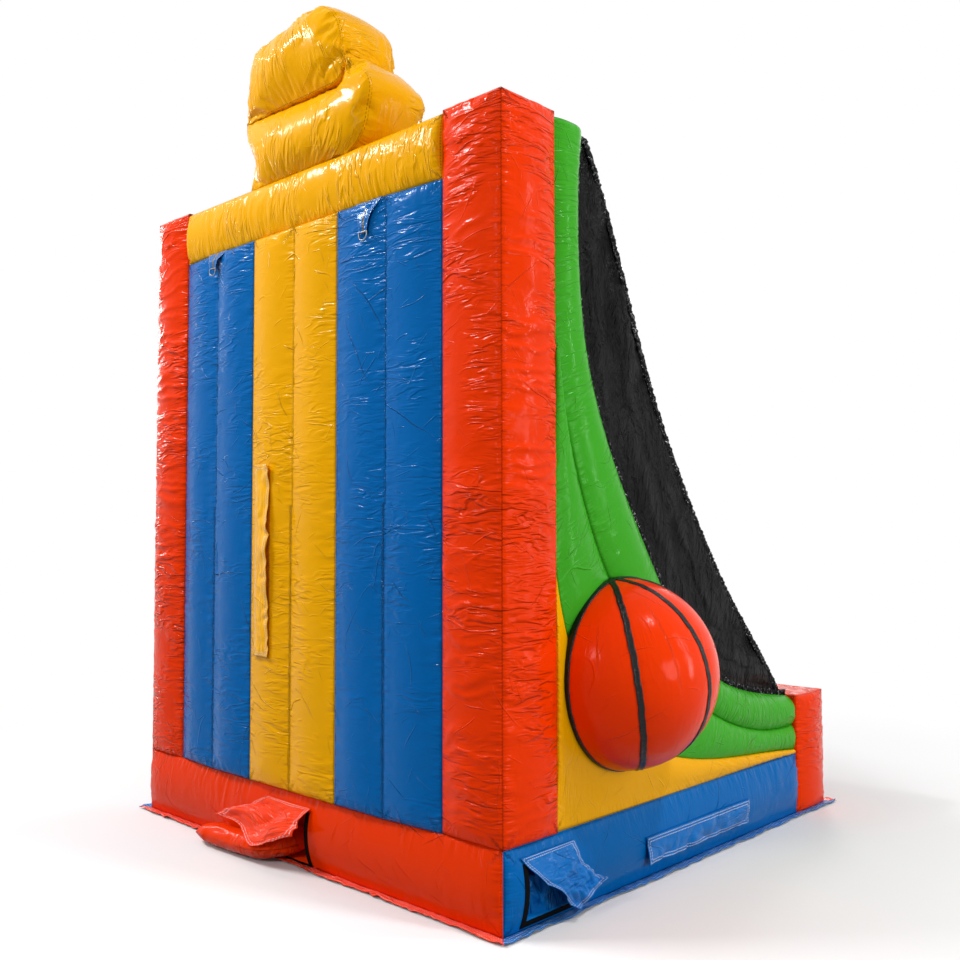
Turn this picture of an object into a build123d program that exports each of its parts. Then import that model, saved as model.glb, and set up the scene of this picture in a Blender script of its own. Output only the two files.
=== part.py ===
from build123d import *
import math
import os

# Inflatable basketball shooting game: an open-fronted PVC booth kept up by air.
# Millimetres. X runs across the booth, Y from the players' side (-Y) to the
# back wall (+Y), Z up. The origin is the middle of the footprint on the ground.
# Left is the players' left, -X.

# Driving dimensions of the booth
WIDTH = 2750.0           # across the side walls, seam to seam
DEPTH = 2800.0           # front posts to back wall, seam to seam
TUBE = 340.0             # side of the square columns, posts and base tubes
BASE_TOP = 340.0         # top of the base tubes
POST_TOP = 660.0         # top of the front posts and the front barrier
BEAM_BOTTOM = 3110.0     # underside of the yellow beam
BEAM_HEIGHT = 285.0
COLUMN_RISE = 15.0       # rear columns, above the beam
BEAM_DEPTH = 300.0
WALL = 205.0             # thickness of the back wall and side wall chambers
SHEET = 3.0              # ground sheet
SKIRT = 55.0             # ground sheet edge that shows round the base

# How far inflated faces stand out, and how their ends round in
TUBE_PUFF = 38.0
WALL_PUFF = 28.0
SEAM_PROUD = 25.0        # chamber seams of the back wall, out from the column seams
INSIDE_PUFF = 22.0
END_ROUND = 60.0
EDGE_ROUND = 45.0
ROUND_MARGIN = 5.0       # end rounding keeps this far off the puffed faces
SAME_EDGE = 20.0         # two edges whose middles are this near are the same one

# Side walls: how the green chambers sweep from the beam down to the front post
NET_TOP_INSET = 245.0    # top of the outer chamber, from the column to the net's edge
SWEEP_BOTTOM = 655.0     # net edge where it meets the front post
SEAM_TOP = 2430.0        # seam between the green chambers, at the column
SEAM_BOTTOM = 495.0      # the same seam, at the front post
GUSSET_TOP = 1480.0      # yellow gusset, at the column
GUSSET_TIP = 355.0       # yellow gusset, at the front post

# Side balls
BALL_RADIUS = 430.0
BALL_BACK_GAP = 30.0     # from the ball to the column
BALL_HEIGHT = 960.0
BALL_TILT = 8.0          # lean of the gore seams, degrees
TAPE_WIDTH = 26.0
TAPE_THICK = 3.0
GORES = (45, 90, 135)    # gore seams between the rim's two ends, degrees

# Side nets
NET_THICK = 3.0
HEM_WIDTH = 28.0
HEM_THICK = 8.0
NET_INSET = 62.0         # net plane, in from the outer face of the side wall
NET_TOP_WIDTH = 60.0     # net's upper end, along the top, and below it
NET_TOP_DROP = 4.0
NET_END_WIDTH = 50.0     # net's lower end, along the post, and above it
NET_END_RISE = 7.0

# Topper
TOPPER_DEPTH = 330.0
TOPPER_HALF_WIDTH = 520.0
TOPPER_HEIGHT = 842.0
TOPPER_ROUND = 38.0
TOPPER_INSET = 5.0       # its back, in from the column seams
LOBE_HEIGHT = 375.0      # seam between the two lobes, above the beam
NOTCH_RISE = 125.0       # where the lower lobe laps the upper one, above the seam
NOTCH_INSET = 215.0      # and in from the topper's side

# Hoops
HOOP_X = 520.0
RIM_HEIGHT = 2080.0
RIM_RADIUS = 170.0       # centre line of the ring
RIM_WIRE = 7.0
BOARD_WIDTH = 600.0
BOARD_HEIGHT = 440.0
BOARD_THICK = 30.0
BOARD_CORNER = 20.0
BOARD_DROP = 110.0       # lower edge of the board, below the rim
RIM_GAP = 75.0           # from the board to the near side of the ring
BRACKET_WIDTH = 120.0
BRACKET_BELOW = 70.0     # bracket plate, below and above the rim
BRACKET_ABOVE = 30.0
BRACKET_THICK = 5.0
ARM_WIDTH = 70.0
HOOP_NET_LENGTH = 300.0
HOOP_NET_END = 105.0     # radius at the lower end of the net
HOOP_NET_THICK = 3.0

# Ball return floor
FLOOR_THICK = 60.0
FLOOR_REAR = 300.0       # top of the floor at the back wall
FLOOR_FRONT = 120.0      # top of the floor at the barrier

# Flaps, zippers, sleeves and anchors
VINYL = 3.0              # sewn flap, two layers with their binding
FLAP_GAP = 9.0           # room under a zipper flap for tape and slider
SEAT = 0.3               # running gap beside a moving piece
HEM_STRIP = 15.0
REAR_FLAP_LEFT = 140.0
REAR_FLAP_HINGE = 275.0
REAR_FLAP_BOTTOM = 975.0
REAR_FLAP_TOP = 1935.0
SIDE_FLAP_FRONT = -445.0
SIDE_FLAP_REAR = 480.0
SIDE_FLAP_BOTTOM = 80.0
SIDE_FLAP_HINGE = 205.0
ZIP_MARGIN = 35.0        # zipper ends, in from the flap's ends
ZIP_WIDTH = 30.0
ZIP_THICK = 1.5
SLIDER_LENGTH = 30.0
SLIDER_WIDTH = 12.0
SLIDER_THICK = 5.0
SLIDER_PARK = 5.0        # closed slider, in from the zipper's end
HOOK_WIDTH = 26.0        # hook and loop tape round the sleeve ports
HOOK_THICK = 3.0
REAR_PORT = (-135.0, 155.0)
REAR_PORT_BOTTOM = 18.0
REAR_PORT_TOP = 268.0
REAR_PORT_DEPTH = 90.0
REAR_PORT_FLAP_TOP = 290.0
REAR_PORT_FLAP_LEAN = 38.0
REAR_PORT_FLAP_LENGTH = 320.0
SIDE_PORT_INSET = 115.0  # from the rear corner
SIDE_PORT_WIDTH = 285.0
SIDE_PORT_BOTTOM = 45.0
SIDE_PORT_TOP = 275.0
SIDE_PORT_DEPTH = 110.0
SIDE_PORT_FLAP_TOP = 300.0
SIDE_PORT_FLAP_LEAN = 30.0
SIDE_PORT_FLAP_LENGTH = 285.0
SLEEVE_WIDTH = 150.0
SLEEVE_HEIGHT = 96.0
SLEEVE_RUN = 560.0       # how far the rear sleeve lies along the base
SLEEVE_OUT = 106.0       # rear sleeve's middle line, out from the seam plane
SLEEVE_RADIUS = 93.0     # middle line of its bend
SLEEVE_SIDE_GAP = 10.0   # from the port's side to the sleeve
SLEEVE_LEAN = 11.0       # it drops from the port to the ground, degrees
STUFFED_HEIGHT = 150.0   # the side sleeve, folded into its port
STUFFED_PROUD = 12.0
STUFFED_SIDE_GAP = 4.0
STUFFED_ROUND = 30.0
ANCHORS = {"left": (-575.0, 150.0), "right": (690.0, 92.0)}  # X, drop below the beam
ANCHOR_TOP_WIDTH = 190.0
ANCHOR_END_WIDTH = 60.0
ANCHOR_SHOULDER = 15.0   # depth of the tab's full width, below the beam
ANCHOR_ROOT = 2.2        # inner edge of the tab, out from the column seams
ANCHOR_SEAT = 0.15       # tab over the panel's top edge
ANCHOR_SAG = 4.0         # how far the tab sinks before it turns down
ANCHOR_LIP = 20.0        # where it starts down, in from its plane
ANCHOR_CORNER = 25.0     # where it hangs straight, below the beam
ANCHOR_OFF = 2.0         # loop, off the wall
RING_WIDTH = 50.0        # inside the D-ring, along its bar
RING_DEPTH = 38.0
RING_WIRE = 3.0
RING_PLAY = 0.5          # between the ring's bar and its loop
LOOP_LENGTH = 38.0
LOOP_WALL = 3.0

# Places that follow from the sizes
HALF_W = WIDTH / 2
HALF_D = DEPTH / 2
IN_X = HALF_W - TUBE
IN_Y = HALF_D - TUBE
BEAM_TOP = BEAM_BOTTOM + BEAM_HEIGHT
COLUMN_TOP = BEAM_TOP + COLUMN_RISE
NET_TOP_REAR = IN_Y - NET_TOP_INSET
BALL_DEPTH = IN_Y - BALL_BACK_GAP - BALL_RADIUS
SIDE_PORT_REAR = HALF_D - SIDE_PORT_INSET
SIDE_PORT = (SIDE_PORT_REAR - SIDE_PORT_WIDTH, SIDE_PORT_REAR)
WALL_FRONT = HALF_D - WALL
WALL_IN_X = HALF_W - WALL
CHAMBER = IN_X / 3                        # width of one back wall chamber
CREST_Y = HALF_D + SEAM_PROUD + WALL_PUFF
SLACK = 60.0                              # extra length of a piece before it is trimmed


def block(x, y, z):
    """A box between two values along each axis."""
    size = [high - low for low, high in (x, y, z)]
    middle = [(low + high) / 2 for low, high in (x, y, z)]
    return Pos(*middle) * Box(*size)


def bulge_radius(chord, puff):
    """Radius of the arc that rises by puff over a chord."""
    return (chord ** 2 / 4 + puff ** 2) / (2 * puff)


def section(corners, puffs, plane):
    """A counterclockwise outline whose sides bulge outward by their puff."""
    sides = []
    for start, end, puff in zip(corners, corners[1:] + corners[:1], puffs):
        a, b = Vector(*start), Vector(*end)
        if puff:
            run = (b - a).normalized()
            crest = (a + b) / 2 + Vector(run.Y, -run.X) * puff
            sides.append(ThreePointArc(a, crest, b))
        else:
            sides.append(Line(a, b))
    return plane * make_face(sides)


def prism(face, direction, start, end):
    """A section carried along a world direction from start to end."""
    way = Vector(*direction)
    return extrude(Pos(*(way * start)) * face, amount=end - start, dir=direction)


def pillow(face, direction, start, end, rounding=END_ROUND):
    """A chamber: a section carried along an axis, its ends rounded in."""
    body = prism(face, direction, start - SLACK, end + SLACK)
    box = body.bounding_box()
    size = [side + 2 * ROUND_MARGIN for side in box.size]
    axis = [abs(part) for part in direction].index(1)
    size[axis] = end - start
    middle = list(box.center())
    middle[axis] = (start + end) / 2
    return body & (Pos(*middle) * fillet(Box(*size).edges(), rounding))


def cushion(face, thick, rounding):
    """A puffed cut-out, centred on its plane, with both faces rounded off."""
    body = extrude(face, amount=thick)
    layers = body.faces().sort_by(Axis.Z)
    return Pos(0, 0, -thick / 2) * fillet(layers[0].edges() + layers[-1].edges(), rounding)


def mitre(x_sign, keep_rear):
    """The diagonal plane at a rear base corner, facing the half that is kept."""
    normal = Vector(-x_sign, 1, 0) if keep_rear else Vector(x_sign, -1, 0)
    return Plane(origin=(x_sign * HALF_W, HALF_D, 0), z_dir=normal)


def wrap(middle, axis, radius, gap, thick, window):
    """A thin strip that follows a bulged face, cut to a window."""
    turn = {"X": Rot(0, 90, 0), "Y": Rot(90, 0, 0), "Z": Rot(0, 0, 0)}[axis]
    length = 2 * max(WIDTH, DEPTH, COLUMN_TOP)
    outer = Cylinder(radius + gap + thick, length)
    inner = Cylinder(radius + gap, length)
    return (Pos(*middle) * turn * (outer - inner)) & window


# Middle lines of the bulged faces that carry strips and flaps
TUBE_CHORD = BASE_TOP - SHEET
TUBE_RADIUS = bulge_radius(TUBE_CHORD, TUBE_PUFF)
TUBE_MID_Z = SHEET + TUBE_CHORD / 2
REAR_TUBE_MIDDLE = (0, HALF_D + TUBE_PUFF - TUBE_RADIUS, TUBE_MID_Z)
SIDE_TUBE_MIDDLE = (TUBE_RADIUS - HALF_W - TUBE_PUFF, 0, TUBE_MID_Z)
WALL_RADIUS = bulge_radius(CHAMBER, WALL_PUFF)
ZIP_WALL_MIDDLE = (CHAMBER / 2, CREST_Y - WALL_RADIUS, 0)


def tube_face(z):
    """How far the bulged face of a base tube lies from its middle line, at a height."""
    return math.sqrt(TUBE_RADIUS ** 2 - (z - TUBE_MID_Z) ** 2)


def flap_hinge(top, lean):
    """Hinge line of a leaning flap whose inner top edge seats on a base tube."""
    angle = math.radians(lean)
    inner = tube_face(top - VINYL * math.sin(angle)) + SEAT
    return inner + VINYL * math.cos(angle)


REAR_HINGE_Y = REAR_TUBE_MIDDLE[1] + flap_hinge(REAR_PORT_FLAP_TOP, REAR_PORT_FLAP_LEAN)
SIDE_HINGE_X = SIDE_TUBE_MIDDLE[0] - flap_hinge(SIDE_PORT_FLAP_TOP, SIDE_PORT_FLAP_LEAN)

parts = {}


def both_sides(name, solid):
    """Adds a left piece and its mirrored right one."""
    parts["left_" + name] = solid
    parts["right_" + name] = mirror(solid, about=Plane.YZ)


def columns_and_posts():
    """Rear columns on the base corners, posts at the open front."""
    corners = [(-HALF_W, IN_Y), (-IN_X, IN_Y), (-IN_X, HALF_D), (-HALF_W, HALF_D)]
    column = section(corners, [0, 0, TUBE_PUFF, TUBE_PUFF], Plane.XY)
    both_sides("rear_column", pillow(column, (0, 0, 1), BASE_TOP, COLUMN_TOP))
    corners = [(-HALF_W, -HALF_D), (-IN_X, -HALF_D), (-IN_X, -IN_Y), (-HALF_W, -IN_Y)]
    post = section(corners, [TUBE_PUFF, 0, 0, TUBE_PUFF], Plane.XY)
    both_sides("front_post", pillow(post, (0, 0, 1), SHEET, POST_TOP))


def base():
    """Ground sheet, mitred base tubes, front barrier and the ball return floor."""
    parts["ground_sheet"] = block(
        (-HALF_W - SKIRT, HALF_W + SKIRT), (-HALF_D - SKIRT, HALF_D + SKIRT), (0, SHEET)
    )
    corners = [(IN_Y, SHEET), (HALF_D, SHEET), (HALF_D, BASE_TOP), (IN_Y, BASE_TOP)]
    rear = section(corners, [0, TUBE_PUFF, 0, 0], Plane.YZ)
    rear = prism(rear, (1, 0, 0), -HALF_W - SLACK, HALF_W + SLACK)
    for sign in (-1, 1):
        rear = split(rear, bisect_by=mitre(sign, True), keep=Keep.TOP)
    pocket = block(
        REAR_PORT,
        (HALF_D - REAR_PORT_DEPTH, HALF_D + SLACK),
        (REAR_PORT_BOTTOM, REAR_PORT_TOP),
    )
    parts["rear_base_tube"] = rear - pocket

    corners = [(-HALF_W, SHEET), (-IN_X, SHEET), (-IN_X, BASE_TOP), (-HALF_W, BASE_TOP)]
    side = section(corners, [0, 0, 0, TUBE_PUFF], Plane.XZ)
    side = prism(side, (0, 1, 0), -IN_Y, HALF_D + SLACK)
    side = split(side, bisect_by=mitre(-1, False), keep=Keep.TOP)
    pocket = block(
        (-HALF_W - SLACK, -HALF_W + SIDE_PORT_DEPTH),
        SIDE_PORT,
        (SIDE_PORT_BOTTOM, SIDE_PORT_TOP),
    )
    parts["left_base_tube"] = side - pocket
    parts["right_base_tube"] = mirror(side, about=Plane.YZ)

    corners = [(-HALF_D, SHEET), (-IN_Y, SHEET), (-IN_Y, POST_TOP), (-HALF_D, POST_TOP)]
    barrier = section(corners, [0, 0, TUBE_PUFF, TUBE_PUFF], Plane.YZ)
    parts["front_barrier"] = prism(barrier, (1, 0, 0), -IN_X, IN_X)

    slope = make_face(
        Polyline(
            (-IN_Y, FLOOR_FRONT),
            (IN_Y, FLOOR_REAR),
            (IN_Y, FLOOR_REAR - FLOOR_THICK),
            (-IN_Y, FLOOR_FRONT - FLOOR_THICK),
            close=True,
        )
    )
    parts["ball_return_floor"] = prism(Plane.YZ * slope, (1, 0, 0), -IN_X, IN_X)


def back_wall():
    """Three panels of two chambers each, and the beam that ties the columns."""
    seam = HALF_D + SEAM_PROUD
    for name, first in (("left", -3), ("center", -1), ("right", 1)):
        steps = (first, first + 1, first + 2)
        edges = [step * CHAMBER for step in steps]
        rear = [HALF_D if abs(step) == 3 else seam for step in steps]
        front = [(x, WALL_FRONT) for x in edges]
        back = [(x, y) for x, y in zip(edges, rear)][::-1]
        puffs = [INSIDE_PUFF, INSIDE_PUFF, 0, WALL_PUFF, WALL_PUFF, 0]
        panel = section(front + back, puffs, Plane.XY)
        parts["back_panel_" + name] = pillow(panel, (0, 0, 1), BASE_TOP, BEAM_BOTTOM)
    corners = [
        (HALF_D - BEAM_DEPTH, BEAM_BOTTOM),
        (HALF_D, BEAM_BOTTOM),
        (HALF_D, BEAM_TOP),
        (HALF_D - BEAM_DEPTH, BEAM_TOP),
    ]
    beam = section(corners, [0, TUBE_PUFF, 0, INSIDE_PUFF], Plane.YZ)
    parts["top_beam"] = prism(beam, (1, 0, 0), -IN_X, IN_X)


def sweep_curve(rear, shares, front):
    """Side wall curve in (Y, Z). Points between its ends are shares of depth and drop."""
    drop = rear[1] - front[1]
    points = [(y * IN_Y, front[1] + z * drop) for y, z in shares]
    return Spline(rear, *points, front)


def net_edge():
    """Edge of the outer green chamber, where the net is sewn on."""
    shares = [(0.802, 0.783), (0.722, 0.608), (0.274, 0.294), (-0.259, 0.071), (-0.684, 0.018)]
    return sweep_curve((NET_TOP_REAR, BEAM_TOP), shares, (-IN_Y, SWEEP_BOTTOM))


def chamber_seam():
    """Seam between the outer and inner green chambers."""
    shares = [(0.934, 0.86), (0.83, 0.685), (0.651, 0.481), (0.245, 0.24), (-0.349, 0.054)]
    return sweep_curve((IN_Y, SEAM_TOP), shares, (-IN_Y, SEAM_BOTTOM))


def gusset_seam():
    """Seam between the inner green chamber and the yellow gusset."""
    shares = [(0.967, 0.84), (0.896, 0.644), (0.66, 0.369), (0.184, 0.147), (-0.472, 0.049)]
    return sweep_curve((IN_Y, GUSSET_TOP), shares, (-IN_Y, GUSSET_TIP))


def net_front():
    """Free front edge of the net, pulled into a hollow curve."""
    rear = (NET_TOP_REAR - NET_TOP_WIDTH, BEAM_TOP - NET_TOP_DROP)
    front = (-IN_Y + NET_END_WIDTH, SWEEP_BOTTOM + NET_END_RISE)
    shares = [(0.58, 0.903), (0.203, 0.576), (-0.075, 0.401), (-0.458, 0.21), (-0.877, 0.038)]
    return sweep_curve(rear, shares, front)


def side_chamber(edges, rounded):
    """A side wall chamber with its long outer and inner edges rounded."""
    face = Plane.YZ * make_face(edges)
    body = prism(face, (1, 0, 0), -HALF_W, -WALL_IN_X)
    places = [
        Plane.YZ.from_local_coords(curve.center() + Vector(0, 0, x))
        for curve in rounded
        for x in (-HALF_W, -WALL_IN_X)
    ]
    long_edges = [
        edge
        for place in places
        for edge in body.edges()
        if (edge.center() - place).length < SAME_EDGE
    ]
    return fillet(long_edges, EDGE_ROUND) if long_edges else body


def side_walls():
    """Green sweep of two chambers and the yellow gusset below it."""
    outer, middle, lower = net_edge(), chamber_seam(), gusset_seam()
    column = [
        Line((IN_Y, SEAM_TOP), (IN_Y, BEAM_TOP)),
        Line((IN_Y, BEAM_TOP), (NET_TOP_REAR, BEAM_TOP)),
    ]
    post = [Line((-IN_Y, SWEEP_BOTTOM), (-IN_Y, SEAM_BOTTOM))]
    both_sides("outer_curve_tube", side_chamber([outer, middle] + column + post, [outer, middle]))
    column = [Line((IN_Y, SEAM_TOP), (IN_Y, GUSSET_TOP))]
    post = [Line((-IN_Y, SEAM_BOTTOM), (-IN_Y, GUSSET_TIP))]
    both_sides("inner_curve_panel", side_chamber([middle, lower] + column + post, [middle]))
    frame = [
        Line((IN_Y, GUSSET_TOP), (IN_Y, BASE_TOP)),
        Line((IN_Y, BASE_TOP), (-IN_Y, BASE_TOP)),
        Line((-IN_Y, BASE_TOP), (-IN_Y, GUSSET_TIP)),
    ]
    both_sides("gusset_panel", side_chamber([lower] + frame, []))


def side_nets():
    """Mesh between the green sweep and the open front, in a gathered border."""
    outer, front = net_edge(), net_front()
    whole = make_face([outer, front, Line(outer @ 0, front @ 0), Line(outer @ 1, front @ 1)])
    inner = Pos(-HEM_WIDTH, HEM_WIDTH) * whole
    mesh = whole & inner & (Pos(HEM_WIDTH, -HEM_WIDTH / 2) * whole)
    x = -HALF_W + NET_INSET
    layers = (("side_net", mesh, NET_THICK), ("net_border", whole - mesh, HEM_THICK))
    for name, face, thick in layers:
        both_sides(name, prism(Plane.YZ * face, (1, 0, 0), x - thick / 2, x + thick / 2))


def side_balls():
    """Half balls that stand out of the side walls, their seams taped black."""
    place = Pos(-HALF_W, BALL_DEPTH, BALL_HEIGHT) * Rot(-BALL_TILT, 0, 0)
    reach = BALL_RADIUS + SLACK
    outside = block((-reach, 0), (-reach, reach), (-reach, reach))
    both_sides("side_ball", place * (Sphere(BALL_RADIUS) & outside))
    skin = (Sphere(BALL_RADIUS + TAPE_THICK) - Sphere(BALL_RADIUS)) & outside
    rim = block((-TAPE_WIDTH, 0), (-reach, reach), (-reach, reach))
    tapes = skin & rim
    for angle in GORES:
        band = block((-reach, -TAPE_WIDTH), (-TAPE_WIDTH / 2, TAPE_WIDTH / 2), (-reach, reach))
        tapes += skin & (Rot(0, 0, angle - 90) * band)
    both_sides("ball_tapes", place * tapes)


def lobe_spline(start, shares, end):
    """Topper outline from its foot up. Its points are shares of half width and height."""
    points = [(x * TOPPER_HALF_WIDTH, z * TOPPER_HEIGHT) for x, z in shares]
    return Spline(start, *points, end)


def topper():
    """Plain two-lobed puff that stands on the beam."""
    foot_left = (-0.635 * TOPPER_HALF_WIDTH, 0)
    foot_right = (0.875 * TOPPER_HALF_WIDTH, 0)
    seam_left = (NOTCH_INSET - TOPPER_HALF_WIDTH, LOBE_HEIGHT)
    seam_right = (0.99 * TOPPER_HALF_WIDTH, LOBE_HEIGHT)
    notch = (seam_left[0], LOBE_HEIGHT + NOTCH_RISE)
    lower = [
        Line(foot_left, foot_right),
        lobe_spline(foot_right, [(0.856, 0.202), (0.971, 0.362)], seam_right),
        Line(seam_right, seam_left),
        Line(seam_left, notch),
        lobe_spline(notch, [(-0.865, 0.523), (-1, 0.386), (-0.894, 0.131)], foot_left),
    ]
    crown = [(0.971, 0.635), (0.808, 0.909), (0.26, 1), (-0.231, 0.974), (-0.548, 0.778)]
    upper = [
        Line(notch, seam_left),
        Line(seam_left, seam_right),
        lobe_spline(seam_right, crown, notch),
    ]
    middle_y = HALF_D - TOPPER_INSET - TOPPER_DEPTH / 2
    place = Plane(origin=(0, middle_y, BEAM_TOP), x_dir=(1, 0, 0), z_dir=(0, -1, 0))
    for name, outline in (("topper_lower_lobe", lower), ("topper_upper_lobe", upper)):
        parts[name] = place * cushion(make_face(outline), TOPPER_DEPTH, TOPPER_ROUND)


def hoops():
    """Padded board, steel ring on its bracket, and a hanging net, twice."""
    wall = WALL_FRONT - INSIDE_PUFF
    board_z = (RIM_HEIGHT - BOARD_DROP, RIM_HEIGHT - BOARD_DROP + BOARD_HEIGHT)
    board_front = wall - BOARD_THICK
    bracket_z = (RIM_HEIGHT - BRACKET_BELOW, RIM_HEIGHT + BRACKET_ABOVE)
    middle_y = board_front - RIM_GAP - RIM_RADIUS
    for name, x in (("left", -HOOP_X), ("right", HOOP_X)):
        board = block((x - BOARD_WIDTH / 2, x + BOARD_WIDTH / 2), (board_front, wall), board_z)
        parts[name + "_backboard"] = fillet(board.edges().filter_by(Axis.Y), BOARD_CORNER)
        place = Pos(x, middle_y, RIM_HEIGHT)
        ring = place * Torus(RIM_RADIUS, RIM_WIRE)
        bracket = block(
            (x - BRACKET_WIDTH / 2, x + BRACKET_WIDTH / 2),
            (board_front - BRACKET_THICK, board_front), bracket_z,
        )
        arms = block(
            (x - ARM_WIDTH / 2, x + ARM_WIDTH / 2),
            (middle_y + RIM_RADIUS, board_front - BRACKET_THICK),
            (RIM_HEIGHT - RIM_WIRE, RIM_HEIGHT + RIM_WIRE),
        )
        parts[name + "_hoop_rim"] = ring + (bracket + arms)
        top = RIM_HEIGHT - RIM_WIRE
        low = top - HOOP_NET_LENGTH
        wide = RIM_RADIUS
        profile = make_face(
            Polyline(
                (wide, top), (wide - HOOP_NET_THICK, top),
                (HOOP_NET_END - HOOP_NET_THICK, low), (HOOP_NET_END, low), close=True,
            )
        )
        parts[name + "_hoop_net"] = Pos(x, middle_y, 0) * revolve(Plane.XZ * profile, Axis.Z)


def rear_zipper():
    """Deflation zipper in the yellow chamber, under a flap sewn on one edge."""
    y = (HALF_D, CREST_Y + SLACK)
    zip_z = (REAR_FLAP_BOTTOM + ZIP_MARGIN, REAR_FLAP_TOP - ZIP_MARGIN)
    zip_x = (REAR_FLAP_LEFT + REAR_FLAP_HINGE) / 2
    tape = wrap(
        ZIP_WALL_MIDDLE, "Z", WALL_RADIUS, 0, ZIP_THICK,
        block((zip_x - ZIP_WIDTH / 2, zip_x + ZIP_WIDTH / 2), y, zip_z),
    )
    hem = wrap(
        ZIP_WALL_MIDDLE, "Z", WALL_RADIUS, 0, FLAP_GAP - SEAT,
        block((REAR_FLAP_HINGE - HEM_STRIP, REAR_FLAP_HINGE), y, (REAR_FLAP_BOTTOM, REAR_FLAP_TOP)),
    )
    parts["rear_zipper_tape"] = Compound([tape.solid(), hem.solid()])
    parts["rear_zipper_flap"] = wrap(
        ZIP_WALL_MIDDLE, "Z", WALL_RADIUS, FLAP_GAP, VINYL,
        block((REAR_FLAP_LEFT, REAR_FLAP_HINGE), y, (REAR_FLAP_BOTTOM, REAR_FLAP_TOP)),
    )
    parts["rear_zipper_slider"] = wrap(
        ZIP_WALL_MIDDLE, "Z", WALL_RADIUS, ZIP_THICK + SEAT, SLIDER_THICK,
        block(
            (zip_x - SLIDER_WIDTH / 2, zip_x + SLIDER_WIDTH / 2), y,
            (zip_z[0] + SLIDER_PARK, zip_z[0] + SLIDER_PARK + SLIDER_LENGTH),
        ),
    )


def side_zipper():
    """Deflation zipper in the left base tube, its flap sewn along the top."""
    x = (-HALF_W - TUBE_PUFF - SLACK, -HALF_W)
    zip_y = (SIDE_FLAP_FRONT + ZIP_MARGIN, SIDE_FLAP_REAR - ZIP_MARGIN)
    zip_z = (SIDE_FLAP_BOTTOM + SIDE_FLAP_HINGE) / 2
    tape = wrap(
        SIDE_TUBE_MIDDLE, "Y", TUBE_RADIUS, 0, ZIP_THICK,
        block(x, zip_y, (zip_z - ZIP_WIDTH / 2, zip_z + ZIP_WIDTH / 2)),
    )
    hem = wrap(
        SIDE_TUBE_MIDDLE, "Y", TUBE_RADIUS, 0, FLAP_GAP - SEAT,
        block(x, (SIDE_FLAP_FRONT, SIDE_FLAP_REAR), (SIDE_FLAP_HINGE - HEM_STRIP, SIDE_FLAP_HINGE)),
    )
    parts["side_zipper_tape"] = Compound([tape.solid(), hem.solid()])
    parts["side_zipper_flap"] = wrap(
        SIDE_TUBE_MIDDLE, "Y", TUBE_RADIUS, FLAP_GAP, VINYL,
        block(x, (SIDE_FLAP_FRONT, SIDE_FLAP_REAR), (SIDE_FLAP_BOTTOM, SIDE_FLAP_HINGE)),
    )
    parts["side_zipper_slider"] = wrap(
        SIDE_TUBE_MIDDLE, "Y", TUBE_RADIUS, ZIP_THICK + SEAT, SLIDER_THICK,
        block(
            x, (zip_y[0] + SLIDER_PARK, zip_y[0] + SLIDER_PARK + SLIDER_LENGTH),
            (zip_z - SLIDER_WIDTH / 2, zip_z + SLIDER_WIDTH / 2),
        ),
    )


def rear_port():
    """Blower sleeve of the back: tape round its port, sleeve and loose flap."""
    y = (HALF_D, HALF_D + TUBE_PUFF + SLACK)
    frame = block(
        (REAR_PORT[0] - HOOK_WIDTH, REAR_PORT[1] + HOOK_WIDTH), y, (SHEET, REAR_PORT_TOP),
    )
    hole = block(REAR_PORT, y, (REAR_PORT_BOTTOM, REAR_PORT_TOP + SLACK))
    parts["rear_port_tape"] = wrap(REAR_TUBE_MIDDLE, "X", TUBE_RADIUS, 0, HOOK_THICK, frame - hole)

    back = HALF_D - REAR_PORT_DEPTH
    run = HALF_D + SLEEVE_OUT
    x = REAR_PORT[1] - SLEEVE_WIDTH / 2 - SLEEVE_SIDE_GAP
    route = FilletPolyline((x, back - SLACK), (x, run), (x + SLEEVE_RUN, run), radius=SLEEVE_RADIUS)
    start = Plane(origin=route @ 0, z_dir=route % 0, x_dir=(1, 0, 0))
    sleeve = Rot(-SLEEVE_LEAN, 0, 0) * Pos(0, -run, 0) * sweep(
        start * Ellipse(SLEEVE_WIDTH / 2, SLEEVE_HEIGHT / 2), path=route
    )
    sleeve = Pos(0, run, -sleeve.bounding_box().min.Z) * sleeve
    outside = block((-HALF_W, HALF_W), (back, HALF_D + WIDTH), (0, BASE_TOP))
    parts["rear_blower_sleeve"] = sleeve & outside

    width = REAR_PORT[1] - REAR_PORT[0] + 2 * HOOK_WIDTH
    flap = Pos(0, -VINYL / 2, -REAR_PORT_FLAP_LENGTH / 2) * Box(width, VINYL, REAR_PORT_FLAP_LENGTH)
    place = Pos((REAR_PORT[0] + REAR_PORT[1]) / 2, REAR_HINGE_Y, REAR_PORT_FLAP_TOP)
    parts["rear_port_flap"] = place * Rot(REAR_PORT_FLAP_LEAN, 0, 0) * flap


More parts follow.
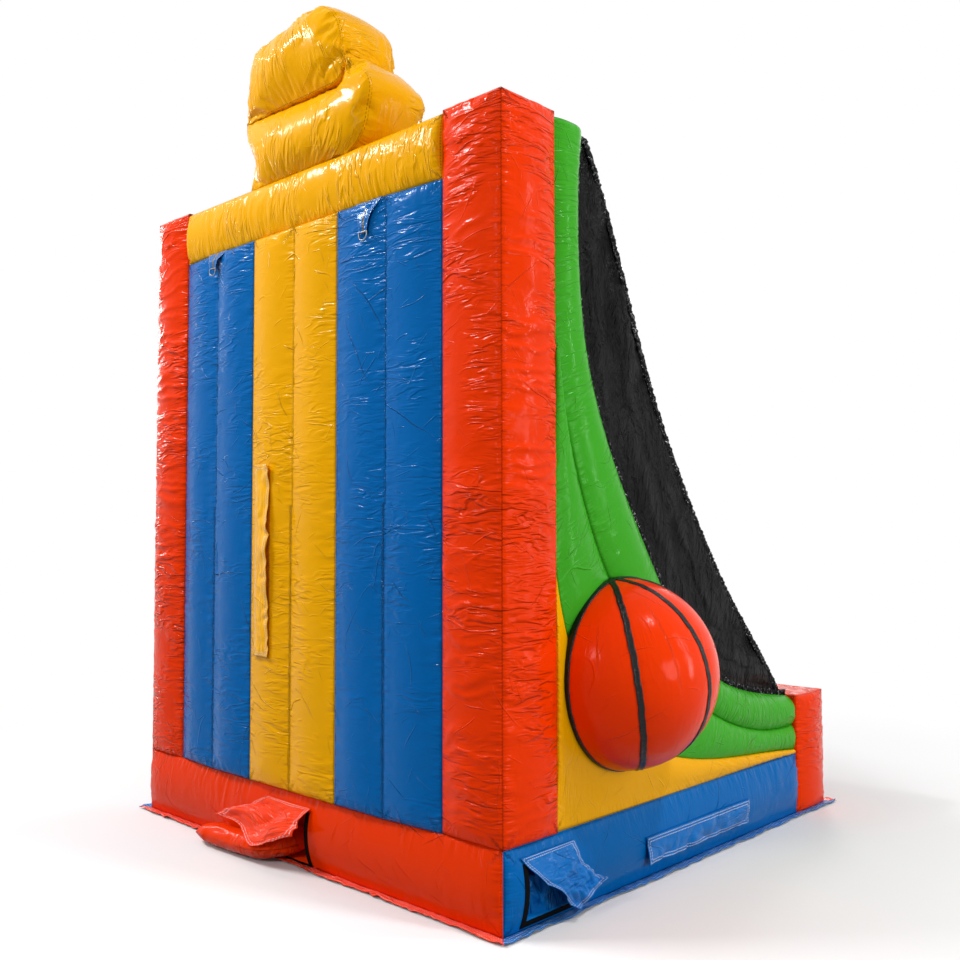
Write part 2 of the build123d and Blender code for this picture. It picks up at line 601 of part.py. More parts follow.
def side_port():
    """Blower sleeve of the left side, stuffed into its port."""
    x = (-HALF_W - TUBE_PUFF - SLACK, -HALF_W)
    frame = block(
        x, (SIDE_PORT[0] - HOOK_WIDTH, SIDE_PORT[1] + HOOK_WIDTH),
        (SIDE_PORT_BOTTOM - HOOK_WIDTH, SIDE_PORT_TOP),
    )
    hole = block(x, SIDE_PORT, (SIDE_PORT_BOTTOM, SIDE_PORT_TOP + SLACK))
    parts["side_port_tape"] = wrap(SIDE_TUBE_MIDDLE, "Y", TUBE_RADIUS, 0, HOOK_THICK, frame - hole)
    inner = -HALF_W + SIDE_PORT_DEPTH
    stuffed = block(
        (-HALF_W - STUFFED_PROUD, inner),
        (SIDE_PORT[0] + STUFFED_SIDE_GAP, SIDE_PORT[1] - STUFFED_SIDE_GAP),
        (SIDE_PORT_BOTTOM, SIDE_PORT_BOTTOM + STUFFED_HEIGHT),
    )
    parts["side_blower_sleeve"] = fillet(stuffed.edges().filter_by(Axis.Y), STUFFED_ROUND)
    width = SIDE_PORT[1] - SIDE_PORT[0] + 2 * HOOK_WIDTH
    flap = Pos(VINYL / 2, 0, -SIDE_PORT_FLAP_LENGTH / 2) * Box(VINYL, width, SIDE_PORT_FLAP_LENGTH)
    place = Pos(SIDE_HINGE_X, (SIDE_PORT[0] + SIDE_PORT[1]) / 2, SIDE_PORT_FLAP_TOP)
    parts["side_port_flap"] = place * Rot(0, SIDE_PORT_FLAP_LEAN, 0) * flap


def anchors():
    """Vinyl tabs sewn into the beam seam, each with a D-ring in its loop."""
    loop_inner = RING_WIRE + RING_PLAY
    loop_outer = loop_inner + LOOP_WALL
    y = CREST_Y + loop_outer + ANCHOR_OFF
    bevel = VINYL * 2 / 3
    for name, (x, drop) in ANCHORS.items():
        z = BEAM_BOTTOM - drop
        outline = make_face(
            Polyline(
                (x - ANCHOR_TOP_WIDTH / 2, BEAM_BOTTOM + SLACK),
                (x - ANCHOR_TOP_WIDTH / 2, BEAM_BOTTOM - ANCHOR_SHOULDER),
                (x - ANCHOR_END_WIDTH / 2, z + loop_outer),
                (x - LOOP_LENGTH / 2, z),
                (x + LOOP_LENGTH / 2, z),
                (x + ANCHOR_END_WIDTH / 2, z + loop_outer),
                (x + ANCHOR_TOP_WIDTH / 2, BEAM_BOTTOM - ANCHOR_SHOULDER),
                (x + ANCHOR_TOP_WIDTH / 2, BEAM_BOTTOM + SLACK),
                close=True,
            )
        )
        face = prism(Plane.XZ * outline, (0, 1, 0), HALF_D, y + SLACK)
        bend = make_face(
            Polyline(
                (HALF_D + ANCHOR_ROOT, BEAM_BOTTOM + ANCHOR_SEAT),
                (y - ANCHOR_LIP, BEAM_BOTTOM - ANCHOR_SAG),
                (y - VINYL / 2, BEAM_BOTTOM - ANCHOR_CORNER),
                (y - VINYL / 2, z),
                (y + VINYL / 2, z),
                (y + VINYL / 2, BEAM_BOTTOM - ANCHOR_CORNER + bevel),
                (y - ANCHOR_LIP + bevel, BEAM_BOTTOM - ANCHOR_SAG + VINYL),
                (HALF_D + ANCHOR_ROOT, BEAM_BOTTOM + ANCHOR_SEAT + VINYL),
                close=True,
            )
        )
        tab = prism(Plane.YZ * bend, (1, 0, 0), x - ANCHOR_TOP_WIDTH, x + ANCHOR_TOP_WIDTH) & face
        loop = Pos(x, y, z) * Rot(0, 90, 0) * Cylinder(loop_outer, LOOP_LENGTH)
        bore = Pos(x, y, z) * Rot(0, 90, 0) * Cylinder(loop_inner, WIDTH)
        parts[name + "_anchor_tab"] = (tab + loop) - bore
        parts[name + "_d_ring"] = Pos(x, y, z) * d_ring()


def d_ring():
    """Welded ring: a straight bar along X and a bow that hangs below it."""
    half = RING_WIDTH / 2 + RING_WIRE
    leg = RING_DEPTH - half
    bow = [
        Line((-half, 0), (half, 0)),
        Line((half, 0), (half, -leg)),
        ThreePointArc((half, -leg), (0, -RING_DEPTH), (-half, -leg)),
        Line((-half, -leg), (-half, 0)),
    ]
    route = Plane.XZ * Wire(bow)
    wire = Plane(origin=route @ 0, z_dir=route % 0) * Circle(RING_WIRE)
    return sweep(wire, path=route, transition=Transition.ROUND)


columns_and_posts()
base()
back_wall()
side_walls()
side_nets()
side_balls()
topper()
hoops()
rear_zipper()
side_zipper()
rear_port()
side_port()
anchors()

os.makedirs("parts", exist_ok=True)
for name, solid in parts.items():
    export_step(solid, "parts/" + name + ".step")
print(len(parts), "nodes")
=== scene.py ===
import math

import bmesh
import bpy
import numpy as np
from mathutils import Euler, Matrix, Vector


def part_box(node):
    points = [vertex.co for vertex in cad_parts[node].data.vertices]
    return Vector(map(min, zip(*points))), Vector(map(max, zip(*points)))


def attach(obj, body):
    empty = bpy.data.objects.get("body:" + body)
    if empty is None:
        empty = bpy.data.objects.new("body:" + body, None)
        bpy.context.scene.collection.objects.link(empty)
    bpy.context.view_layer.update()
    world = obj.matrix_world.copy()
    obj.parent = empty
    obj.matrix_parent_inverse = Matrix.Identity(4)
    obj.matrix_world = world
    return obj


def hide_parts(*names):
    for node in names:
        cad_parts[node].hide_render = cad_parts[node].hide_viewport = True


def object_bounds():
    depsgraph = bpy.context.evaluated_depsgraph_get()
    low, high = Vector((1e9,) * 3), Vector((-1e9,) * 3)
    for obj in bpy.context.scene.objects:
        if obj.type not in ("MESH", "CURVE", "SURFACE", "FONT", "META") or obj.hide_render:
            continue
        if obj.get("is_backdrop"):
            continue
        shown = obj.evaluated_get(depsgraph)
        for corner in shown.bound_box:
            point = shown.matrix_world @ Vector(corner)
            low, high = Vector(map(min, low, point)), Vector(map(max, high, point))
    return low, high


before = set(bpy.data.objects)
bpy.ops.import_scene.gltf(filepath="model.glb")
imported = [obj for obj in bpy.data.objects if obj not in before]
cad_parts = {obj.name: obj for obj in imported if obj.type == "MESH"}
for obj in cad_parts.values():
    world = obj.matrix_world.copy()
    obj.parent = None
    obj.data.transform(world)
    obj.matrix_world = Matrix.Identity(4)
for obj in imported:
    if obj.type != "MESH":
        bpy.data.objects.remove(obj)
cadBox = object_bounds()

# Seam planes of the booth, all taken from the CAD nodes
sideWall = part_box("left_gusset_panel")
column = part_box("left_rear_column")
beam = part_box("top_beam")
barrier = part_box("front_barrier")
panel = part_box("back_panel_center")
halfWidth = -sideWall[0].x
wallInX = -sideWall[1].x
inX = -column[1].x
inY = sideWall[1].y
tube = halfWidth - inX
halfDepth = inY + tube
baseTop = sideWall[0].z
columnTop = column[1].z
beamBottom = beam[0].z
beamTop = beam[1].z
sheetTop = barrier[0].z
puff = {  # how far a chamber's skin stands out between its seams
    "tube": abs(halfWidth + column[0].x), "wall": 0.028, "inside": 0.022,
    "proud": 0.025,  # how far the middle of the back wall stands behind its sides
}
postTop = barrier[1].z - puff["tube"]
wallFront = panel[0].y + puff["inside"]


# Materials
finishes = {
    "orange": (0.83, 0.038, 0.0),
    "yellow": (0.86, 0.40, 0.0),
    "blue": (0.0, 0.122, 0.41),
    "green": (0.045, 0.36, 0.016),
}
vinylLook = {
    "roughness": (0.13, 0.27),  # glossy and duller patches
    "specular": 0.088,
    "sheen": 0.42,  # how white its highlights are, against its own colour
    "tint": 0.08,  # how far the colour wanders
    "patchScale": 1.3, "glossScale": 5.0,
    "creaseDepth": 0.0022,
    "creaseLayers": (  # scale, width, share, shift
        (2.3, 0.0035, 1.0, 0.0), (4.7, 0.003, 0.8, 3.0), (9.5, 0.0025, 0.45, 7.0),
    ),
    "creaseWander": 0.16, "wanderScale": 2.2,
    "crinkleDepth": 0.0030, "crinkleScale": 11.0,
    "foldDepth": 0.0055, "foldScale": (5.0, 21.0, 1.0), "foldWidth": 0.13, "foldPatches": 3.3,
    "puckerDepth": 0.0060, "puckerScale": (7.0, 48.0, 1.0), "puckerReach": 0.085,  # from the seam
    "threadDepth": 0.001,
    "threadWhite": 0.75,
    "stitchesPerMetre": 78.0,
    "stitchShare": 0.6,  # of each pitch
}


def newMaterial(name):
    material = bpy.data.materials.new(name)
    material.use_nodes = True
    nodes = material.node_tree.nodes
    return material, nodes, material.node_tree.links, nodes["Principled BSDF"]


def mathNode(nodes, links, operation, *values):
    node = nodes.new("ShaderNodeMath")
    node.operation = operation
    for socket, value in zip(node.inputs, values):
        if isinstance(value, (int, float)):
            socket.default_value = value
        else:
            links.new(value, socket)
    return node.outputs[0]


def remap(nodes, links, value, low, high, toLow=0.0, toHigh=1.0):
    node = nodes.new("ShaderNodeMapRange")
    node.interpolation_type = "SMOOTHSTEP"
    links.new(value, node.inputs["Value"])
    for name, number in zip(("From Min", "From Max", "To Min", "To Max"), (low, high, toLow, toHigh)):
        node.inputs[name].default_value = number
    return node.outputs["Result"]


def noiseNode(nodes, links, vector, scale, detail=2.0, roughness=0.5, warp=0.0):
    node = nodes.new("ShaderNodeTexNoise")
    links.new(vector, node.inputs["Vector"])
    node.inputs["Scale"].default_value = scale
    node.inputs["Detail"].default_value = detail
    node.inputs["Roughness"].default_value = roughness
    node.inputs["Distortion"].default_value = warp
    return node.outputs["Fac"]


def mixColours(nodes, links, factor, first, second):
    node = nodes.new("ShaderNodeMix")
    node.data_type = "RGBA"
    if isinstance(factor, (int, float)):
        node.inputs["Factor"].default_value = factor
    else:
        links.new(factor, node.inputs["Factor"])
    for name, value in (("A", first), ("B", second)):
        if isinstance(value, tuple):
            node.inputs[name].default_value = (*value, 1)
        else:
            links.new(value, node.inputs[name])
    return node.outputs["Result"]


def bumpNode(nodes, links, height, depth, before=None):
    node = nodes.new("ShaderNodeBump")
    node.inputs["Strength"].default_value = 1.0
    node.inputs["Distance"].default_value = depth
    links.new(height, node.inputs["Height"])
    if before is not None:
        links.new(before, node.inputs["Normal"])
    return node.outputs["Normal"]


def mapping(nodes, links, vector, scale, turn=(0.0, 0.0, 0.0), place=(0.0, 0.0, 0.0)):
    node = nodes.new("ShaderNodeMapping")
    links.new(vector, node.inputs["Vector"])
    node.inputs["Scale"].default_value = scale
    node.inputs["Rotation"].default_value = turn
    node.inputs["Location"].default_value = place
    return node.outputs["Vector"]


def uvNode(nodes, name):
    node = nodes.new("ShaderNodeUVMap")
    node.uv_map = name
    return node.outputs["UV"]


# Short straight creases, one through the middle of each random cell, turned any way
def straightCreases(nodes, links, vector, scale, width):
    cells = nodes.new("ShaderNodeTexVoronoi")
    links.new(vector, cells.inputs["Vector"])
    cells.inputs["Scale"].default_value = scale
    away = nodes.new("ShaderNodeVectorMath")
    away.operation = "SUBTRACT"
    links.new(vector, away.inputs[0])
    links.new(cells.outputs["Position"], away.inputs[1])
    turn = nodes.new("ShaderNodeVectorMath")
    turn.operation = "SUBTRACT"
    links.new(cells.outputs["Color"], turn.inputs[0])
    turn.inputs[1].default_value = (0.5, 0.5, 0.5)
    unit = nodes.new("ShaderNodeVectorMath")
    unit.operation = "NORMALIZE"
    links.new(turn.outputs[0], unit.inputs[0])
    dot = nodes.new("ShaderNodeVectorMath")
    dot.operation = "DOT_PRODUCT"
    links.new(away.outputs[0], dot.inputs[0])
    links.new(unit.outputs[0], dot.inputs[1])
    beside = mathNode(nodes, links, "ABSOLUTE", dot.outputs["Value"])
    line = remap(nodes, links, beside, 0.0, width, 1.0, 0.0)
    fade = remap(nodes, links, cells.outputs["Distance"], 0.15, 0.5, 1.0, 0.0)
    return mathNode(nodes, links, "MULTIPLY", line, fade)


# Glossy coated fabric: folds across it, creases, crinkles, puckers and stitches by its seams
def vinyl(name, colour, wrinkles=1.0, stitches=((0.0045, 0.0011),), thread=0.5, clear=1.0, folded=1.0, scored=1.0,
          puckered=1.0):
    look = vinylLook
    material, nodes, links, shader = newMaterial(name)
    place = nodes.new("ShaderNodeTexCoord").outputs["Object"]
    patches = noiseNode(nodes, links, place, look["patchScale"], 3.0)
    dark = tuple(c * (1 - look["tint"]) for c in colour)
    light = tuple(min(1.0, c * (1 + look["tint"] * 0.5)) for c in colour)
    shade = mixColours(nodes, links, patches, dark, light)
    gloss = noiseNode(nodes, links, place, look["glossScale"], 4.0)
    rough = remap(nodes, links, gloss, 0.3, 0.7, *look["roughness"])
    links.new(rough, shader.inputs["Roughness"])
    shader.inputs["Specular IOR Level"].default_value = look["specular"] * clear
    whiteness, peak = look["sheen"], max(colour)
    shader.inputs["Specular Tint"].default_value = (*[whiteness + (1 - whiteness) * c / peak for c in colour], 1)
    wobble = nodes.new("ShaderNodeTexNoise")
    links.new(place, wobble.inputs["Vector"])
    wobble.inputs["Scale"].default_value = look["wanderScale"]
    bent = nodes.new("ShaderNodeVectorMath")
    bent.operation = "MULTIPLY_ADD"
    links.new(wobble.outputs["Color"], bent.inputs[0])
    bent.inputs[1].default_value = (look["creaseWander"],) * 3
    links.new(place, bent.inputs[2])
    bent = bent.outputs[0]
    creases = None
    for scale, width, share, shift in look["creaseLayers"]:
        moved = mapping(nodes, links, bent, (1, 1, 1), place=(shift, shift * 0.7, shift * 1.3))
        layer = mathNode(nodes, links, "MULTIPLY", straightCreases(nodes, links, moved, scale, width), share)
        creases = layer if creases is None else mathNode(nodes, links, "MAXIMUM", creases, layer)
    normal = bumpNode(nodes, links, creases, look["creaseDepth"] * wrinkles * scored)
    fine = noiseNode(nodes, links, place, look["crinkleScale"], 3.0, 0.55, 0.3)
    normal = bumpNode(nodes, links, fine, look["crinkleDepth"] * wrinkles, normal)
    split = nodes.new("ShaderNodeSeparateXYZ")
    links.new(uvNode(nodes, "seams"), split.inputs["Vector"])
    across, along = split.outputs["X"], split.outputs["Y"]
    flow = mapping(nodes, links, uvNode(nodes, "sheet"), look["foldScale"])
    folds = noiseNode(nodes, links, flow, 1.0, 2.0, 0.5, 0.7)
    ridges = mathNode(nodes, links, "ABSOLUTE", mathNode(nodes, links, "SUBTRACT", folds, 0.5))
    ridges = remap(nodes, links, ridges, 0.0, look["foldWidth"], 1.0, 0.0)
    where = remap(nodes, links, noiseNode(nodes, links, place, look["foldPatches"], 2.0), 0.42, 0.66)
    height = mathNode(nodes, links, "MULTIPLY", ridges, where)
    normal = bumpNode(nodes, links, height, look["foldDepth"] * wrinkles * folded, normal)
    flow = mapping(nodes, links, uvNode(nodes, "seams"), look["puckerScale"])
    ripples = noiseNode(nodes, links, flow, 1.0, 1.0, 0.5, 0.2)
    near = remap(nodes, links, across, 0.0, look["puckerReach"], 1.0, 0.0)
    height = mathNode(nodes, links, "MULTIPLY", ripples, mathNode(nodes, links, "POWER", near, 1.5))
    normal = bumpNode(nodes, links, height, look["puckerDepth"] * wrinkles * puckered, normal)
    dash = mathNode(nodes, links, "MULTIPLY", along, look["stitchesPerMetre"])
    dash = mathNode(nodes, links, "LESS_THAN", mathNode(nodes, links, "FRACT", dash), look["stitchShare"])
    if thread > 0.5:  # pale thread; under a half it is a darker line of the fabric's own colour
        tone = tuple(c * (1 - thread) + look["threadWhite"] * thread for c in colour)
    else:
        tone = tuple(c * thread for c in colour)
    for offset, width in stitches:
        away = mathNode(nodes, links, "ABSOLUTE", mathNode(nodes, links, "SUBTRACT", across, offset))
        row = mathNode(nodes, links, "MULTIPLY", mathNode(nodes, links, "LESS_THAN", away, width), dash)
        shade = mixColours(nodes, links, row, shade, tone)
        normal = bumpNode(nodes, links, row, look["threadDepth"], normal)
    links.new(shade, shader.inputs["Base Color"])
    links.new(normal, shader.inputs["Normal"])
    return material


vinyls = {key: vinyl(key + "Vinyl", colour) for key, colour in finishes.items()}
taut = {
    key: vinyl(key + "TautVinyl", colour, wrinkles=0.8, folded=0.2, scored=2.2, puckered=1.3)
    for key, colour in finishes.items()
}
panelVinyls = {
    key: vinyl(key + "PanelVinyl", colour, wrinkles=1.1, folded=0.55, scored=2.3) for key, colour in finishes.items()
}
creased = {
    key: vinyl(key + "CreasedVinyl", colour, wrinkles=1.6, stitches=((0.0012, 0.0016),))
    for key, colour in finishes.items()
}
flapVinyls = {
    key: vinyl(
        key + "FlapVinyl", tuple(min(1.0, c * 1.15 + 0.006) for c in colour), wrinkles=1.2, clear=2.0, folded=0.5,
        scored=1.6, puckered=0.12, stitches=((0.008, 0.0016), (0.021, 0.0016)), thread=0.9,
    )
    for key, colour in finishes.items()
}
greenVinyl = vinyl("greenSweepVinyl", finishes["green"], wrinkles=1.1, folded=0.4, scored=1.7, puckered=0.6)
ballVinyl = vinyl("ballVinyl", finishes["orange"], wrinkles=0.8, folded=0.1, scored=1.5, puckered=0.5, clear=1.3)


strapLook = {
    "middle": 0.095, "half": 0.017, "ribs": 1100.0, "dark": (0.035, 0.022, 0.014), "light": (0.30, 0.27, 0.22),
}


def webbed(material):  # sews a strap of brown webbing along the middle of a tab's material
    nodes, links = material.node_tree.nodes, material.node_tree.links
    shader = nodes["Principled BSDF"]
    shade = shader.inputs["Base Color"].links[0].from_socket
    split = nodes.new("ShaderNodeSeparateXYZ")
    links.new(uvNode(nodes, "sheet"), split.inputs["Vector"])
    away = mathNode(nodes, links, "SUBTRACT", split.outputs["X"], strapLook["middle"])
    away = mathNode(nodes, links, "ABSOLUTE", away)
    ribs = mathNode(nodes, links, "SINE", mathNode(nodes, links, "MULTIPLY", away, strapLook["ribs"]))
    strap = mixColours(nodes, links, remap(nodes, links, ribs, -0.4, 0.6), strapLook["dark"], strapLook["light"])
    band = mathNode(nodes, links, "LESS_THAN", away, strapLook["half"])
    links.new(mixColours(nodes, links, band, shade, strap), shader.inputs["Base Color"])
    return material


tabVinyl = webbed(vinyl(
    "tabVinyl", finishes["blue"], clear=2.0, folded=0.4, scored=1.5, puckered=0.2, stitches=((0.006, 0.0014),),
    thread=0.9,
))


# A finish with fine grain, for tapes, cord, metal and boards
def plain(name, colour, roughness=0.6, metallic=0.0, grainScale=60.0, depth=0.0004, sheen=0.0, specular=0.4,
          glints=0.0):
    material, nodes, links, shader = newMaterial(name)
    place = nodes.new("ShaderNodeTexCoord").outputs["Object"]
    dark, light = tuple(c * 0.75 for c in colour), tuple(min(1.0, c * 1.1) for c in colour)
    tone = noiseNode(nodes, links, place, grainScale * 0.2, 3.0)
    links.new(mixColours(nodes, links, tone, dark, light), shader.inputs["Base Color"])
    shader.inputs["Roughness"].default_value = roughness
    shader.inputs["Metallic"].default_value = metallic
    shader.inputs["Sheen Weight"].default_value = sheen
    shader.inputs["Specular IOR Level"].default_value = specular
    if glints:
        specks = noiseNode(nodes, links, place, glints, 2.0, 0.6)
        links.new(remap(nodes, links, specks, 0.56, 0.68, specular, 1.4), shader.inputs["Specular IOR Level"])
    height = noiseNode(nodes, links, place, grainScale, 4.0, 0.6)
    links.new(bumpNode(nodes, links, height, depth), shader.inputs["Normal"])
    return material


tapeBlack = plain("bindingTape", (0.005, 0.005, 0.006), 0.26, depth=0.006, grainScale=45.0, specular=0.22)
hookBlack = plain("hookAndLoop", (0.003, 0.003, 0.003), 0.9, depth=0.002, grainScale=400.0, specular=0.06)
boardWhite = plain("boardWhite", (0.78, 0.78, 0.78), 0.35, grainScale=20.0)
borderBlack = plain(
    "gatheredBorder", (0.004, 0.004, 0.005), 0.2, depth=0.012, grainScale=38.0, specular=0.03, glints=70.0,
)
rimRed = plain("rimPaint", (0.75, 0.07, 0.01), 0.35, grainScale=120.0)
cordWhite = plain("netCord", (0.72, 0.72, 0.7), 0.85, grainScale=300.0, depth=0.001, sheen=0.3)
ringSteel = plain("ringSteel", (0.30, 0.29, 0.28), 0.3, 1.0, grainScale=200.0, depth=0.0003)


zipLook = {"teethHalf": 0.005, "teethPerMetre": 220.0, "dark": (0.004, 0.004, 0.004), "light": (0.03, 0.03, 0.03)}


def zipTape(name, colour, across, along, middle):  # coloured tape with a narrow dark row of teeth along its middle
    material = plain(name, colour, 0.5, grainScale=300.0, depth=0.001, specular=0.1)
    nodes, links = material.node_tree.nodes, material.node_tree.links
    shader = nodes["Principled BSDF"]
    shade = shader.inputs["Base Color"].links[0].from_socket
    split = nodes.new("ShaderNodeSeparateXYZ")
    links.new(nodes.new("ShaderNodeTexCoord").outputs["Object"], split.inputs["Vector"])
    away = mathNode(nodes, links, "ABSOLUTE", mathNode(nodes, links, "SUBTRACT", split.outputs[across], middle))
    tooth = mathNode(nodes, links, "MULTIPLY", split.outputs[along], zipLook["teethPerMetre"])
    tooth = remap(nodes, links, mathNode(nodes, links, "FRACT", tooth), 0.3, 0.5)
    teeth = mixColours(nodes, links, tooth, zipLook["dark"], zipLook["light"])
    band = mathNode(nodes, links, "LESS_THAN", away, zipLook["teethHalf"])
    links.new(mixColours(nodes, links, band, shade, teeth), shader.inputs["Base Color"])
    return material


meshLook = {
    "threadsPerMetre": 160.0, "thread": 0.85,  # share of each pitch that isn't a hole
    "behind": (0.2, 0.2, 0.2), "colour": (0.002, 0.002, 0.0023), "roughness": 0.31, "specular": 0.06,
    "crumpleDepth": 0.08, "crumpleScale": 5.5, "crumpleStretch": (1, 1.6, 0.7),
    "creaseDepth": 0.006, "creaseScale": 6.0, "creaseStretch": (1, 1.5, 0.7), "creaseWidth": 0.004,
}


def meshNet():  # open black mesh: dull threads with small holes between them, and a soft sheen on its folds
    material, nodes, links, shader = newMaterial("blackMesh")
    split = nodes.new("ShaderNodeSeparateXYZ")
    links.new(uvNode(nodes, "seams"), split.inputs["Vector"])
    threads = []
    for axis in ("X", "Y"):
        wave = mathNode(nodes, links, "MULTIPLY", split.outputs[axis], meshLook["threadsPerMetre"])
        wave = mathNode(nodes, links, "FRACT", wave)
        threads.append(mathNode(nodes, links, "GREATER_THAN", wave, meshLook["thread"]))
    hole = mathNode(nodes, links, "MULTIPLY", *threads)
    clear = nodes.new("ShaderNodeBsdfTransparent")
    clear.inputs["Color"].default_value = (*meshLook["behind"], 1)
    mix = nodes.new("ShaderNodeMixShader")
    links.new(hole, mix.inputs["Fac"])
    links.new(shader.outputs["BSDF"], mix.inputs[1])
    links.new(clear.outputs["BSDF"], mix.inputs[2])
    links.new(mix.outputs["Shader"], nodes["Material Output"].inputs["Surface"])
    shader.inputs["Base Color"].default_value = (*meshLook["colour"], 1)
    shader.inputs["Roughness"].default_value = meshLook["roughness"]
    shader.inputs["Specular IOR Level"].default_value = meshLook["specular"]
    place = nodes.new("ShaderNodeTexCoord").outputs["Object"]
    flow = mapping(nodes, links, place, meshLook["crumpleStretch"])
    crumple = noiseNode(nodes, links, flow, meshLook["crumpleScale"], 5.0, 0.62, 1.0)
    normal = bumpNode(nodes, links, crumple, meshLook["crumpleDepth"])
    flow = mapping(nodes, links, place, meshLook["creaseStretch"])
    lines = straightCreases(nodes, links, flow, meshLook["creaseScale"], meshLook["creaseWidth"])
    links.new(bumpNode(nodes, links, lines, meshLook["creaseDepth"], normal), shader.inputs["Normal"])
    return material


blackMesh = meshNet()
print("materials")


# Mesh tools
def grain(x, y, seed):  # smooth noise between -1 and 1
    table = np.random.default_rng(seed).uniform(-1, 1, (64, 64))
    x0, y0 = np.floor(x).astype(int), np.floor(y).astype(int)
    fx, fy = x - x0, y - y0
    fx, fy = fx * fx * (3 - 2 * fx), fy * fy * (3 - 2 * fy)
    corner = [[table[(x0 + i) % 64, (y0 + j) % 64] for j in (0, 1)] for i in (0, 1)]
    low = corner[0][0] * (1 - fx) + corner[1][0] * fx
    high = corner[0][1] * (1 - fx) + corner[1][1] * fx
    return low * (1 - fy) + high * fy


pucker = {"height": 0.0060, "spacing": 0.019, "reach": 0.05, "longReach": 0.15, "rise": 0.006}
fold = {"spacing": 0.052, "sharpness": 3}
slack = {"height": 0.0022, "clear": 0.05, "foldClear": 0.03}  # slow waves, and how far they and folds keep off seams


def puckers(distance, along, seed):  # gathers that run square off a seam: some short, a few right across
    still = np.zeros_like(along)
    drift = 0.5 * grain(along * 6, distance * 12, seed + 1)
    ridges = grain(along / pucker["spacing"] + drift, distance * 7, seed)
    longer = np.clip(grain(along * 5, still, seed + 2), 0, 1) ** 2
    reach = pucker["reach"] * (0.6 + 0.4 * grain(along * 9, still, seed + 4)) + pucker["longReach"] * longer
    strength = 0.4 + 0.6 * np.abs(grain(along * 2.7, still, seed + 3))
    envelope = (1 - np.exp(-distance / pucker["rise"])) * np.exp(-(distance / reach) ** 1.5)
    return pucker["height"] * strength * envelope * ridges


def folds(across, along, seed):  # wavy creases that run across a chamber, in patches; between about -0.3 and 0.7
    bent = along + 0.035 * grain(across * 6, along * 4, seed) + 0.012 * grain(across * 17, along * 11, seed + 1)
    lines = 1 - np.abs(grain(across * 3.2, bent / fold["spacing"], seed + 2))
    patch = np.clip(0.5 + 0.95 * grain(across * 2, along * 2.4, seed + 3), 0.1, 1)
    return (lines ** fold["sharpness"] - 0.3) * patch


def gridBlock(cuts):  # a two metre cube, cut into a grid along each axis
    bm = bmesh.new()
    bmesh.ops.create_cube(bm, size=2)
    for axis, count in enumerate(cuts):
        edges = [e for e in bm.edges if abs((e.verts[0].co - e.verts[1].co)[axis]) > 1.9]
        bmesh.ops.subdivide_edges(bm, edges=edges, cuts=count, use_grid_fill=True)
    return bm


def addObject(name, bm):
    mesh = bpy.data.meshes.new(name)
    bm.to_mesh(mesh)
    bm.free()
    obj = bpy.data.objects.new(name, mesh)
    bpy.context.collection.objects.link(obj)
    return obj


def getPoints(mesh):
    co = np.empty(len(mesh.vertices) * 3, np.float32)
    mesh.vertices.foreach_get("co", co)
    return co.reshape(-1, 3).astype(float)


def setPoints(mesh, co):
    mesh.vertices.foreach_set("co", co.astype(np.float32).ravel())
    mesh.update()


def getNormals(mesh):
    out = np.empty(len(mesh.vertices) * 3, np.float32)
    mesh.vertex_normals.foreach_get("vector", out)
    return out.reshape(-1, 3).astype(float)


def turnOutward(mesh):  # flips a mesh whose faces point inwards
    count = len(mesh.polygons)
    centre, normal, area = np.empty(count * 3), np.empty(count * 3), np.empty(count)
    mesh.polygons.foreach_get("center", centre)
    mesh.polygons.foreach_get("normal", normal)
    mesh.polygons.foreach_get("area", area)
    if ((centre.reshape(-1, 3) * normal.reshape(-1, 3)).sum(1) * area).sum() < 0:
        mesh.flip_normals()


def writeMap(mesh, name, first, second):  # stores two numbers per face corner as a UV map
    layer = mesh.uv_layers.new(name=name)
    layer.data.foreach_set("uv", np.column_stack((first, second)).astype(np.float32).ravel())


def cornerVertices(mesh):
    index = np.empty(len(mesh.loops), np.int32)
    mesh.loops.foreach_get("vertex_index", index)
    return index


# Gives a piece its finish and its body, and hides the CAD nodes that it stands for
def dress(obj, material, body="booth", nodes=(), smooth=True):
    obj.data.materials.clear()
    obj.data.materials.append(material)
    if smooth:
        obj.data.polygons.foreach_set("use_smooth", [True] * len(obj.data.polygons))
    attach(obj, body)
    if nodes:
        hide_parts(*nodes)
    return obj


def weld(mesh, reach=0.0005):
    bm = bmesh.new()
    bm.from_mesh(mesh)
    bmesh.ops.remove_doubles(bm, verts=bm.verts, dist=reach)
    bm.to_mesh(mesh)
    bm.free()


def endFall(u, halfLength, reach):  # share of the full puff near the two ends of a chamber, which close in
    t = np.clip((1 - np.abs(u)) * halfLength / max(reach, 1e-6), 0, 1)
    return np.sqrt(1 - (1 - t) ** 2) if reach > 0 else np.ones_like(u)


